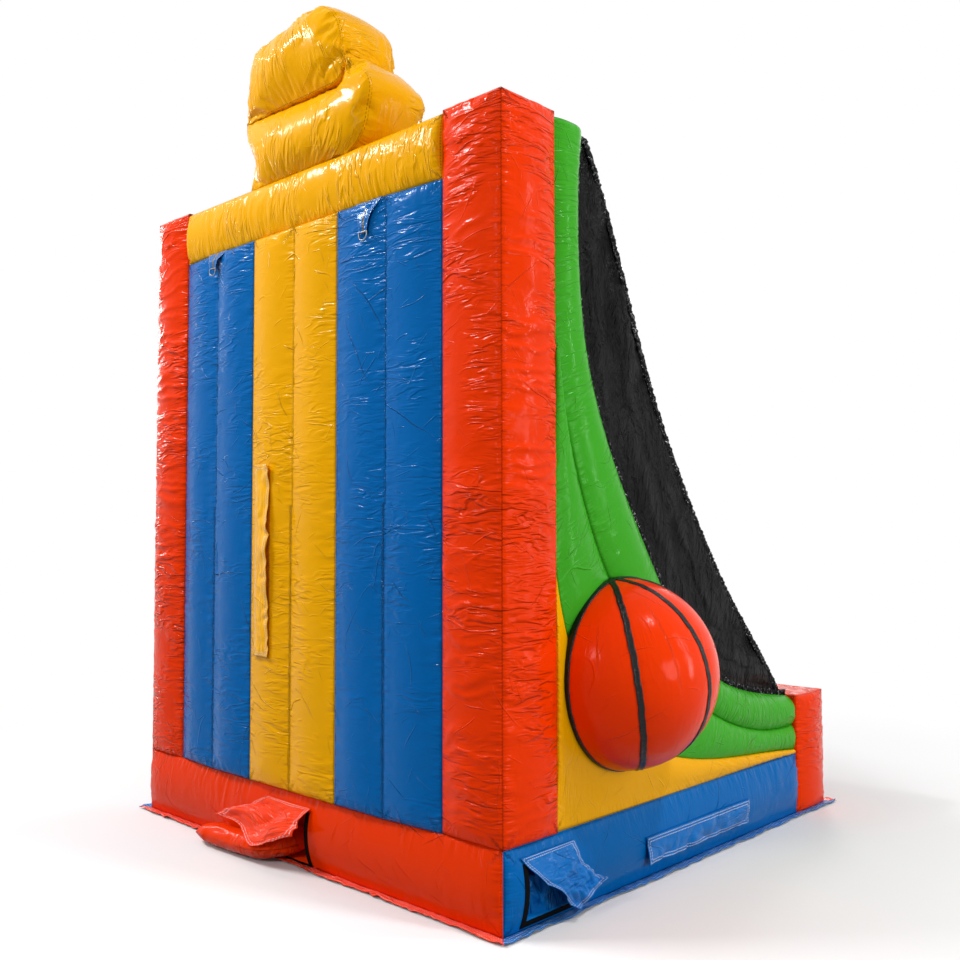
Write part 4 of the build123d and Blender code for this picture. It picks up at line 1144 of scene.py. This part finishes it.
# A crumpled sheet between four lines in space, with its seams map for the stitches
def looseSheet(name, look):
    bottom, right, top, left = [line3(look[key]) for key in ("bottom", "right", "top", "left")]
    step, relief, seed = look["step"], look["relief"], look["seed"]
    width = np.linalg.norm(np.diff(top, axis=0), axis=1).sum()
    height = np.linalg.norm(np.diff(left, axis=0), axis=1).sum()
    obj = addObject(name, gridBlock((round(width / step), round(height / step), 0)))
    u = getPoints(obj.data)
    s, t = (u[:, 0] + 1) / 2, (u[:, 1] + 1) / 2
    co = coons(bottom, right, top, left, s, t)
    x, y = s * width, t * height
    broad = np.abs(grain(x * 7 + y * 3, y * 7 - x * 3, seed))
    narrow = np.abs(grain(x * 19 - y * 7, y * 16 + x * 6, seed + 1))
    rise = relief * (1.8 * broad - 0.6)
    rise += relief * (0.9 * narrow - 0.3)
    rise += relief * 0.15 * grain(x * 41, y * 38, seed + 2)
    rise *= np.clip(1.08 - t, 0.08, 1)  # flatter at the sewn edge, which is the top line
    if "bend" in look:
        rise += look["bend"](s, t) * np.clip((1 - t) * 1.6, 0, 1)
    facing = np.array(look["facing"]) / np.linalg.norm(look["facing"])
    setPoints(obj.data, co + facing * (rise + u[:, 2] * look["thick"] / 2)[:, None])
    turnOutward(obj.data)
    gaps = np.minimum(np.minimum(x, width - x), np.minimum(y, height - y))
    along = np.where(np.minimum(x, width - x) < np.minimum(y, height - y), y, x)
    mapByVertex(obj.data, "seams", gaps, along)
    mapByVertex(obj.data, "sheet", x, y)
    return obj


def flap(name, node, look, body=None):  # a loose sheet that stands for a node and rides on its body
    obj = looseSheet(name, look)
    dress(obj, look["material"], body=body or node, nodes=[node])


def fanFolds(s, t):  # folds that spread from the sewn edge down to the tips of the free edge
    away, turn = np.hypot(s - 0.62, 1.05 - t), np.arctan2(s - 0.62, 1.05 - t)
    return 0.016 + 0.038 * np.clip(away, 0, 0.7) * np.abs(np.sin(4.2 * turn + 0.5 + 0.7 * away)) ** 0.8


def crossFold(s, t):  # one fold right across
    return 0.03 * np.exp(-((t - 0.52 - 0.1 * s) / 0.09) ** 2) * np.sin(np.pi * np.clip(s * 1.15, 0, 1))


rearPortFlap = {  # its top line is the sewn edge
    "bottom": [
        (0.50, 1.50, 0.14), (0.31, 1.495, 0.14), (0.11, 1.545, 0.05), (-0.04, 1.54, 0.125), (-0.17, 1.51, 0.165),
    ],
    "right": [(-0.17, 1.51, 0.165), (-0.155, 1.48, 0.23), (-0.173, 1.43, 0.29)],
    "top": [(0.178, 1.43, 0.29), (-0.173, 1.43, 0.29)],
    "left": [(0.50, 1.50, 0.14), (0.33, 1.457, 0.212), (0.178, 1.43, 0.29)],
    "facing": (0, 0.8, 0.6), "step": 0.0065, "relief": 0.022, "thick": 0.0024, "seed": 151, "bend": fanFolds,
    "flat": (0.46, 0.4), "held": "draped", "rests": ["rear_blower_sleeve"],
    "colour": "orange", "material": flapVinyls["orange"],
}
sidePortFlap = {
    "bottom": [(-1.475, 1.045, 0.04), (-1.475, 0.87, 0.13)],
    "right": [(-1.475, 0.87, 0.13), (-1.44, 0.955, 0.2), (-1.399, 0.98, 0.303)],
    "top": [(-1.399, 1.322, 0.301), (-1.399, 0.98, 0.303)],
    "left": [(-1.475, 1.045, 0.04), (-1.462, 1.16, 0.15), (-1.425, 1.27, 0.235), (-1.399, 1.322, 0.301)],
    "facing": (-0.85, 0.1, 0.5), "step": 0.0065, "relief": 0.023, "thick": 0.0024, "seed": 157, "bend": crossFold,
    "flat": (0.38, 0.42), "held": "draped", "rests": ["left_base_tube"],
    "colour": "blue", "material": flapVinyls["blue"],
}
flap("rearPortFlapSkin", "rear_port_flap", rearPortFlap)
flap("sidePortFlapSkin", "side_port_flap", sidePortFlap)


def panelSurface(x):  # where the yellow middle panel's skin stands, on its left lane
    lane = inX / 3
    return halfDepth + puff["proud"] + puff["wall"] * (1 - (2 * np.abs(x) / lane - 1) ** 2)


def tubeSurface(z):
    share = (2 * z - sheetTop - baseTop) / (baseTop - sheetTop)
    return -halfWidth - full * (1 - share**2)


zipFlap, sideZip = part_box("rear_zipper_flap"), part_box("side_zipper_flap")
hinge, free, zLow, zHigh = zipFlap[1].x, zipFlap[0].x, zipFlap[0].z, zipFlap[1].z


def behind(x, z, gap):
    return x, panelSurface(x) + gap, z


def beside(y, z, gap):
    return tubeSurface(z) - gap, y, z


rearZipperFlap = {
    "bottom": [behind(free, zHigh, 0.016), behind(free, (zLow + zHigh) / 2, 0.022), behind(free, zLow, 0.016)],
    "right": [behind(free, zLow, 0.016), behind(0.2, zLow, 0.015), behind(hinge, zLow, 0.0125)],
    "top": [behind(hinge, zHigh, 0.0125), behind(hinge, zLow, 0.0125)],
    "left": [behind(free, zHigh, 0.016), behind(0.2, zHigh, 0.015), behind(hinge, zHigh, 0.0125)],
    "facing": (0, 1, 0), "step": 0.007, "relief": 0.011, "thick": 0.002, "seed": 163,
    "flat": (0.97, 0.16), "held": "hung", "rests": ["back_panel_center"],
    "colour": "yellow", "material": flapVinyls["yellow"],
}
yLow, yHigh, zEdge, zTop = sideZip[0].y, sideZip[1].y, sideZip[0].z, sideZip[1].z
sideZipperFlap = {
    "bottom": [beside(yHigh, zEdge, 0.022), beside(0, zEdge, 0.014), beside(yLow, zEdge, 0.012)],
    "right": [beside(yLow, zEdge, 0.012), beside(yLow, 0.145, 0.015), beside(yLow, zTop, 0.012)],
    "top": [beside(yHigh, zTop, 0.012), beside(yLow, zTop, 0.012)],
    "left": [beside(yHigh, zEdge, 0.022), beside(yHigh, 0.145, 0.017), beside(yHigh, zTop, 0.012)],
    "facing": (-1, 0, 0.1), "step": 0.007, "relief": 0.012, "thick": 0.002, "seed": 167,
    "flat": (0.94, 0.16), "held": "hung", "rests": ["left_base_tube"],
    "colour": "blue", "material": flapVinyls["blue"],
}
flap("rearZipperFlapSkin", "rear_zipper_flap", rearZipperFlap)
flap("sideZipperFlapSkin", "side_zipper_flap", sideZipperFlap)

anchorTab = {
    "endHalf": 0.022, "waistHalf": 0.042, "endSink": 0.008, "waistSink": 0.009, "rootProud": 0.022, "width": 0.2,
    "seamTuck": 0.02, "facing": (0, 1, 0.1), "step": 0.006, "relief": 0.0045, "thick": 0.003, "seed": 171,
    "held": "hung", "colour": "blue", "material": tabVinyl,
}
for side in ("left", "right"):
    low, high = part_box(side + "_anchor_tab")
    middle, waist, root = (low.x + high.x) / 2, (low.z + high.z) / 2, low.y + anchorTab["rootProud"]
    ends = {way: (middle + way * anchorTab["endHalf"], high.y - anchorTab["endSink"], low.z) for way in (-1, 1)}
    waists = {way: (middle + way * anchorTab["waistHalf"], high.y - anchorTab["waistSink"], waist) for way in (-1, 1)}
    roots = {-1: (low.x, root, high.z), 1: (high.x, root, high.z)}
    lines = {
        "bottom": [ends[1], ends[-1]], "right": [ends[-1], waists[-1], roots[-1]],
        "top": [roots[1], roots[-1]], "left": [ends[1], waists[1], roots[1]],
        "flat": (anchorTab["width"], high.z - low.z + anchorTab["seamTuck"]),
    }
    flap(side + "AnchorTabSkin", side + "_anchor_tab", anchorTab | lines, "booth")
print("flaps and tabs")

skirt = {
    "reach": 0.055, "lift": 0.012, "thick": 0.002, "wander": 0.006, "clear": 0.004, "step": 0.009,
    "gathers": 0.028, "creases": 0.06,  # spacings
    "cutWidth": 0.065,  # before it is gathered
}


# Gathered edge of the ground sheet along one side, lying on the floor
def skirtStrip(name, start, end, outward, key, seed):
    start, end, outward = np.array(start), np.array(end), np.array(outward)
    length = np.linalg.norm(end - start)
    obj = addObject(name, gridBlock((round(length / skirt["step"]), 5, 0)))
    u = getPoints(obj.data)
    s, t = (u[:, 0] + 1) / 2, (u[:, 1] + 1) / 2
    mitreEnd = skirt["reach"] * t
    run = s * length + (2 * s - 1) * mitreEnd
    wander = skirt["wander"] * grain(run * 14, run * 0, seed) * t
    flat = start + (end - start) * (run / length)[:, None] + outward * (skirt["reach"] * t * 0.94 + wander)[:, None]
    rise = 0.5 + 0.5 * grain(run / skirt["gathers"], t * 1.4, seed + 1)
    rise += 0.5 * (1 - np.abs(grain(run / skirt["creases"], t * 2, seed + 2))) ** 4
    z = skirt["clear"] + skirt["lift"] * rise * (0.25 + 0.75 * t) + u[:, 2] * skirt["thick"] / 2
    setPoints(obj.data, np.column_stack((flat, z)))
    turnOutward(obj.data)
    gap = np.minimum(t, 1 - t) * skirt["reach"]
    mapByVertex(obj.data, "seams", gap, run)
    mapByVertex(obj.data, "sheet", t * skirt["reach"], run)
    dress(obj, flapVinyls[key])
    flat = (length + 2 * skirt["reach"], skirt["cutWidth"])


groundLook = {"thick": 0.003, "past": 0.004, "cutMargin": 0.01, "cuts": (96, 98, 0)}


def groundSheet():  # the floor of the booth, hidden under its tubes but for its edge
    thick, past = groundLook["thick"], groundLook["past"]
    obj = addObject("groundSheetSkin", gridBlock(groundLook["cuts"]))
    u = getPoints(obj.data)
    co = u * (halfWidth + past, halfDepth + past, thick / 2) + (0, 0, thick / 2)
    mapByVertex(obj.data, "seams", 1 - np.abs(u).max(1), u[:, 0])
    mapByVertex(obj.data, "sheet", co[:, 0], co[:, 1])
    setPoints(obj.data, co)
    turnOutward(obj.data)
    dress(obj, taut["blue"], nodes=["ground_sheet"])


groundSheet()
skirtStrip("rearSkirt", (-halfWidth, halfDepth), (halfWidth, halfDepth), (0, 1), "orange", 181)
skirtStrip("frontSkirt", (-halfWidth, -halfDepth), (halfWidth, -halfDepth), (0, -1), "orange", 187)
skirtStrip("leftSkirt", (-halfWidth, -halfDepth), (-halfWidth, halfDepth), (-1, 0), "blue", 191)
skirtStrip("rightSkirt", (halfWidth, -halfDepth), (halfWidth, halfDepth), (1, 0), "blue", 193)
print("ground sheet and skirt")


# Blower sleeves
rearSleeveLook = {
    "centre": [
        (0.01, 1.315, 0.10), (0.01, 1.40, 0.095), (0.04, 1.475, 0.08), (0.12, 1.503, 0.066), (0.3, 1.506, 0.06),
        (0.63, 1.506, 0.05),
    ],
    "cuts": (150, 14, 14), "length": 0.75, "radius": 0.07, "halfHeight": 0.052, "endSlimmer": 0.018, "limpEnd": 0.12,
    "waves": 0.05, "folds": 0.10, "clear": 0.006, "fill": 0.5,
}


def rearSleeve():  # limp tube from the rear port, lying along the base
    look = rearSleeveLook
    centre = line3(look["centre"], 200)
    obj = addObject("rearSleeveSkin", gridBlock(look["cuts"]))
    u = getPoints(obj.data)
    s = (u[:, 0] + 1) / 2
    angle = np.arctan2(u[:, 2], u[:, 1])
    edge = np.maximum(np.abs(u[:, 1]), np.abs(u[:, 2]))
    at = atShare(centre, s)
    ahead = atShare(np.gradient(centre, axis=0), s)
    ahead /= np.linalg.norm(ahead, axis=1)[:, None]
    sideways = np.column_stack((ahead[:, 1], -ahead[:, 0], np.zeros(len(u))))
    sideways /= np.linalg.norm(sideways, axis=1)[:, None]
    run = s * look["length"]
    wrinkle = 1 + look["waves"] * grain(angle * 2 / np.pi * 4, run * 9, 201)
    wrinkle += look["folds"] * folds(angle * 0.08, run, 203)
    end = np.clip((1 - s) / look["limpEnd"], 0, 1)
    wide, tall = look["radius"] - look["endSlimmer"] * (1 - end), look["halfHeight"] * (0.35 + 0.65 * end ** 0.5)
    co = at + sideways * (np.cos(angle) * edge * wide * wrinkle)[:, None]
    co[:, 2] += np.sin(angle) * edge * tall * wrinkle
    co[:, 2] = np.maximum(co[:, 2], look["clear"])  # it lies on the ground sheet's edge
    setPoints(obj.data, co)
    turnOutward(obj.data)
    mapByVertex(obj.data, "seams", np.abs(angle) * look["radius"], run)
    mapByVertex(obj.data, "sheet", angle * look["radius"], run)
    dress(obj, vinyls["orange"], nodes=["rear_blower_sleeve"])


sideSleeveLook = {
    "cuts": (4, 50, 34), "back": 0.03, "folds": 0.042, "ripple": 0.012, "sink": 0.004, "topWaves": 0.022, "fill": 0.3,
}


def sideSleeve():  # sleeve of the side port, folded away into it
    look = sideSleeveLook
    low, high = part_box("side_blower_sleeve")
    obj = addObject("sideSleeveSkin", gridBlock(look["cuts"]))
    u = getPoints(obj.data)
    co = boxPlace((low.x + look["back"], low.y, low.z), tuple(high))(u)
    y, z = co[:, 1], co[:, 2]
    creaseHeight = look["folds"] * (1 - np.abs(grain(y * 15 + z * 8, z * 5, 211))) ** 2
    creaseHeight += look["ripple"] * grain(y * 34, z * 18, 212)
    co[:, 0] -= (u[:, 0] < 0) * (creaseHeight - look["sink"]) * np.clip(1.3 - np.abs(u[:, 1]), 0, 1)
    co[:, 2] += (u[:, 2] > 0) * look["topWaves"] * grain(y * 13, z * 0, 213)
    setPoints(obj.data, co)
    turnOutward(obj.data)
    mapByVertex(obj.data, "seams", np.minimum(y - low.y, high.y - y), z)
    mapByVertex(obj.data, "sheet", z, y)
    dress(obj, creased["blue"], nodes=["side_blower_sleeve"])


rearSleeve()
sideSleeve()
print("sleeves")


# Playing side: floor, boards, nets
floorLook = {
    "drop": 0.18, "thick": 0.06, "lanes": (6, 1, 1), "puff": 0.022, "ends": 0.06, "gather": 0.7,
    "steps": (0.018, 0.02, 0.03), "fill": 0.8,
}


def returnFloor():
    look = floorLook
    low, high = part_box("ball_return_floor")
    size = high - low

    def place(u):
        co = boxPlace(tuple(low), tuple(high))(u)
        top = high.z - look["drop"] * (1 - u[:, 1]) / 2
        co[:, 2] = top - (1 - u[:, 2]) / 2 * look["thick"]
        return co

    obj = inflate(
        "returnFloorSkin", cutsFor((size.x, size.y, look["thick"]), look["steps"]), place,
        (size.x / 2, size.y / 2, look["thick"] / 2), (0, 0, 0, 0, 0, look["puff"]), 1, lanes=look["lanes"],
        ends=look["ends"], gather=look["gather"], seed=221,
    )
    dress(obj, vinyls["blue"], nodes=["ball_return_floor"])


boardLook = {
    "puff": 0.008, "ends": 0.05, "gather": 0.25, "step": 0.02, "edge": 0.006, "fill": 0.9,
    "margin": 0.01, "square": (0.24, 0.18), "squareUp": 0.09,
    "line": 0.02, "lineProud": 0.0095, "lineSunk": 0.002, "lineEdge": 0.0015,
}


def backboard(side):
    look = boardLook
    low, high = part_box(side + "_backboard")
    size = high - low
    obj = inflate(
        side + "BoardPad", cutsFor(tuple(size), (look["step"],) * 3), boxPlace(tuple(low), tuple(high)),
        boxHalves(tuple(low), tuple(high)), (0, 0, look["puff"], 0, 0, 0), 0, ends=look["ends"],
        gather=look["gather"], seed=231,
    )
    bevel = obj.modifiers.new("edges", "BEVEL")
    bevel.width, bevel.segments, bevel.limit_method, bevel.angle_limit = look["edge"], 2, "ANGLE", math.radians(50)
    dress(obj, boardWhite, nodes=[side + "_backboard"])
    centre = Vector(((low.x + high.x) / 2, low.y, low.z))
    border = (size.x - 2 * look["margin"], size.z - 2 * look["margin"])
    for part, (wide, tall), base in (
        ("Border", border, look["margin"]), ("Square", look["square"], look["squareUp"]),
    ):
        bm = bmesh.new()
        t = look["line"]
        for x0, x1, z0, z1 in (
            (-wide / 2, wide / 2, 0, t), (-wide / 2, wide / 2, tall - t, tall),
            (-wide / 2, -wide / 2 + t, t, tall - t), (wide / 2 - t, wide / 2, t, tall - t),
        ):
            bar = bmesh.ops.create_cube(bm, size=1)["verts"]
            for vert in bar:
                vert.co = (
                    centre.x + (x0 if vert.co.x < 0 else x1),
                    low.y + (look["lineSunk"] if vert.co.y > 0 else -look["lineProud"]),
                    centre.z + base + (z0 if vert.co.z < 0 else z1),
                )
        bmesh.ops.remove_doubles(bm, verts=bm.verts, dist=0.0002)
        strip = addObject(side + "Board" + part, bm)
        edges = strip.modifiers.new("edges", "BEVEL")
        edges.width, edges.segments, edges.limit_method = look["lineEdge"], 2, "ANGLE"
        dress(strip, tapeBlack, smooth=False)


hoopNetLook = {
    "cords": 12, "rows": 5, "stepsPerRow": 5, "cordRadius": 0.003, "sides": 6, "inset": 0.002, "endRadius": 0.105,
    "knot": 2.1,  # its radius, in cord radii
}


def hoopNet(side):  # knotted net: cords that cross on their way down, with a knot at each crossing
    look = hoopNetLook
    low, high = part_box(side + "_hoop_net")
    middle = Vector(((low.x + high.x) / 2, (low.y + high.y) / 2, 0))
    topRadius = (high.x - low.x) / 2 - look["inset"]

    def netPoint(turn, t):
        narrow = topRadius + (look["endRadius"] - topRadius) * t ** 0.7
        return middle + Vector((narrow * math.cos(turn), narrow * math.sin(turn), high.z + (low.z - high.z) * t))

    def ringPlace(k, way, t):  # where the cord's round section stands, and how it is turned
        zigzag = abs((t * look["rows"]) % 2 - 1) - 1
        turn = 2 * math.pi * (k + 0.5 * way * zigzag) / look["cords"]
        here = netPoint(turn, t)
        ahead = netPoint(turn, min(1, t + 0.02)) - here
        out = Vector((math.cos(turn), math.sin(turn), 0))
        over = (ahead.normalized() if ahead.length > 0 else Vector((0, 0, -1))).cross(out).normalized()
        return Matrix.Translation(here) @ Matrix((out, over, out.cross(over))).transposed().to_4x4()

    bm = bmesh.new()
    steps = look["rows"] * look["stepsPerRow"]
    for k in range(look["cords"]):
        for way in (-1, 1):
            places = [ringPlace(k, way, i / steps) for i in range(steps + 1)]
            ring = bmesh.ops.create_circle(
                bm, cap_ends=True, segments=look["sides"], radius=look["cordRadius"], matrix=places[0],
            )["verts"]
            edges = list(ring[0].link_faces[0].edges)
            for before, after in zip(places, places[1:]):
                grown = bmesh.ops.extrude_edge_only(bm, edges=edges)["geom"]
                moved = [part for part in grown if isinstance(part, bmesh.types.BMVert)]
                bmesh.ops.transform(bm, matrix=after @ before.inverted(), verts=moved)
                edges = [part for part in grown if isinstance(part, bmesh.types.BMEdge)]
            bmesh.ops.contextual_create(bm, geom=edges)
    for k in range(look["cords"]):
        for row in range(1, look["rows"] + 1):
            turn = 2 * math.pi * (k + 0.5 * (row % 2)) / look["cords"]
            bmesh.ops.create_icosphere(
                bm, subdivisions=1, radius=look["cordRadius"] * look["knot"],
                matrix=Matrix.Translation(netPoint(turn, row / look["rows"])),
            )
    bmesh.ops.recalc_face_normals(bm, faces=bm.faces)
    obj = addObject(side + "HoopCords", bm)
    dress(obj, cordWhite, nodes=[side + "_hoop_net"])


returnFloor()
for side in ("left", "right"):
    backboard(side)
    hoopNet(side)
print("playing side")


# Finishes of the CAD nodes that stay
def middleOf(node, axis):
    values = [vertex.co[axis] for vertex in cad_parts[node].data.vertices]
    return (min(values) + max(values)) / 2


kept = {
    "rear_port_tape": hookBlack, "side_port_tape": hookBlack,
    "rear_zipper_tape": zipTape("yellowZipTape", finishes["yellow"], "X", "Z", middleOf("rear_zipper_tape", 0)),
    "side_zipper_tape": zipTape("blueZipTape", finishes["blue"], "Z", "Y", middleOf("side_zipper_tape", 2)),
    "rear_zipper_slider": ringSteel, "side_zipper_slider": ringSteel,
}
for side in ("left", "right"):
    kept[side + "_hoop_rim"] = rimRed
    kept[side + "_d_ring"] = ringSteel
for node, material in kept.items():
    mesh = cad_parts[node].data
    mesh.materials.clear()
    mesh.materials.append(material)
print("kept nodes")


# Floor, light and camera
stageLook = {
    "pale": (0.84, 0.84, 0.84), "bounce": (0.24, 0.24, 0.24),  # as seen, and as it throws light back
    "fade": (1.9, 4.6),  # distances between which the floor turns into the white background
    "radius": 40, "below": 0.001, "ambient": 0.30,
}


def stageFloor():
    bm = bmesh.new()
    bmesh.ops.create_circle(bm, cap_ends=True, segments=96, radius=stageLook["radius"])
    floor = addObject("stageFloor", bm)
    floor.location.z = -stageLook["below"]
    material, nodes, links, shader = newMaterial("paleFloor")
    shader.inputs["Roughness"].default_value = 0.9
    shader.inputs["Specular IOR Level"].default_value = 0.1
    away = nodes.new("ShaderNodeVectorMath")
    away.operation = "LENGTH"
    links.new(nodes.new("ShaderNodeTexCoord").outputs["Object"], away.inputs[0])
    far = remap(nodes, links, away.outputs["Value"], *stageLook["fade"])
    rays = nodes.new("ShaderNodeLightPath")
    seen = mathNode(nodes, links, "MAXIMUM", rays.outputs["Is Camera Ray"], rays.outputs["Is Glossy Ray"])
    seen = mathNode(nodes, links, "MAXIMUM", seen, rays.outputs["Is Transmission Ray"])
    bounce = mixColours(nodes, links, rays.outputs["Is Diffuse Ray"], stageLook["pale"], stageLook["bounce"])
    links.new(bounce, shader.inputs["Base Color"])
    white = nodes.new("ShaderNodeEmission")
    mix = nodes.new("ShaderNodeMixShader")
    links.new(mathNode(nodes, links, "MULTIPLY", far, seen), mix.inputs["Fac"])
    links.new(shader.outputs["BSDF"], mix.inputs[1])
    links.new(white.outputs["Emission"], mix.inputs[2])
    links.new(mix.outputs["Shader"], nodes["Material Output"].inputs["Surface"])
    floor.data.materials.append(material)
    floor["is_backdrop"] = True


def studioWorld():
    world = bpy.data.worlds.new("studio")
    bpy.context.scene.world = world
    world.use_nodes = True
    nodes, links = world.node_tree.nodes, world.node_tree.links
    ambient = nodes["Background"]
    ambient.inputs["Color"].default_value = (1, 1, 1, 1)
    ambient.inputs["Strength"].default_value = stageLook["ambient"]
    seen = nodes.new("ShaderNodeBackground")
    seen.inputs["Color"].default_value = (1, 1, 1, 1)
    seen.inputs["Strength"].default_value = 1.0
    rays = nodes.new("ShaderNodeLightPath")
    shown = mathNode(nodes, links, "MAXIMUM", rays.outputs["Is Camera Ray"], rays.outputs["Is Transmission Ray"])
    shown = mathNode(nodes, links, "MAXIMUM", shown, rays.outputs["Is Glossy Ray"])
    mix = nodes.new("ShaderNodeMixShader")
    links.new(shown, mix.inputs["Fac"])
    links.new(ambient.outputs["Background"], mix.inputs[1])
    links.new(seen.outputs["Background"], mix.inputs[2])
    links.new(mix.outputs["Shader"], nodes["World Output"].inputs["Surface"])


def softLight(name, place, target, size, power):
    light = bpy.data.lights.new(name, "AREA")
    light.shape = "RECTANGLE"
    light.size, light.size_y = size
    light.energy = power
    obj = bpy.data.objects.new(name, light)
    obj.location = place
    obj.rotation_euler = (Vector(target) - Vector(place)).to_track_quat("-Z", "Y").to_euler()
    bpy.context.collection.objects.link(obj)


softLights = {  # place, what it points at, size, power
    "topLight": ((4.4, 5.4, 8.0), (0, 1.2, 2.2), (3.2, 0.3), 640),
    "rearLight": ((-1.6, 7.4, 4.0), (0, 1.2, 1.6), (1.2, 1.2), 120),
    "sideLight": ((-6.2, -2.6, 2.9), (-1.3, 0.9, 1.9), (0.14, 4.4), 95),
    "sideFill": ((-7.0, 0.4, 1.6), (-1.3, 0.0, 0.8), (2.2, 1.6), 118),
    "highSideLight": ((-5.0, 0.2, 7.6), (-1.3, 0.2, 1.6), (0.7, 0.4), 210),
    "frontLight": ((2.0, -7.0, 5.0), (0, 0, 1.6), (1.6, 1.6), 150),
    "farLight": ((6.5, 1.0, 4.0), (1.3, 0, 1.7), (1.2, 2.0), 100),
}
stageFloor()
studioWorld()
for name, values in softLights.items():
    softLight(name, *values)

cameraLook = {"place": (-4.1224, 4.3981, 1.6057), "turn": (92.787, 0.08, -136.262), "lens": 38.166}
camera = bpy.data.objects.new("camera", bpy.data.cameras.new("camera"))
bpy.context.collection.objects.link(camera)
camera.location = cameraLook["place"]
camera.rotation_euler = Euler([math.radians(a) for a in cameraLook["turn"]])
camera.data.sensor_width = 36
camera.data.lens = cameraLook["lens"]
camera.data.clip_end = 200
bpy.context.scene.camera = camera
bpy.context.scene.view_settings.view_transform = "Standard"
print("stage")

sizes = {"cad": [list(p) for p in cadBox], "visual": [list(p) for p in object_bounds()]}
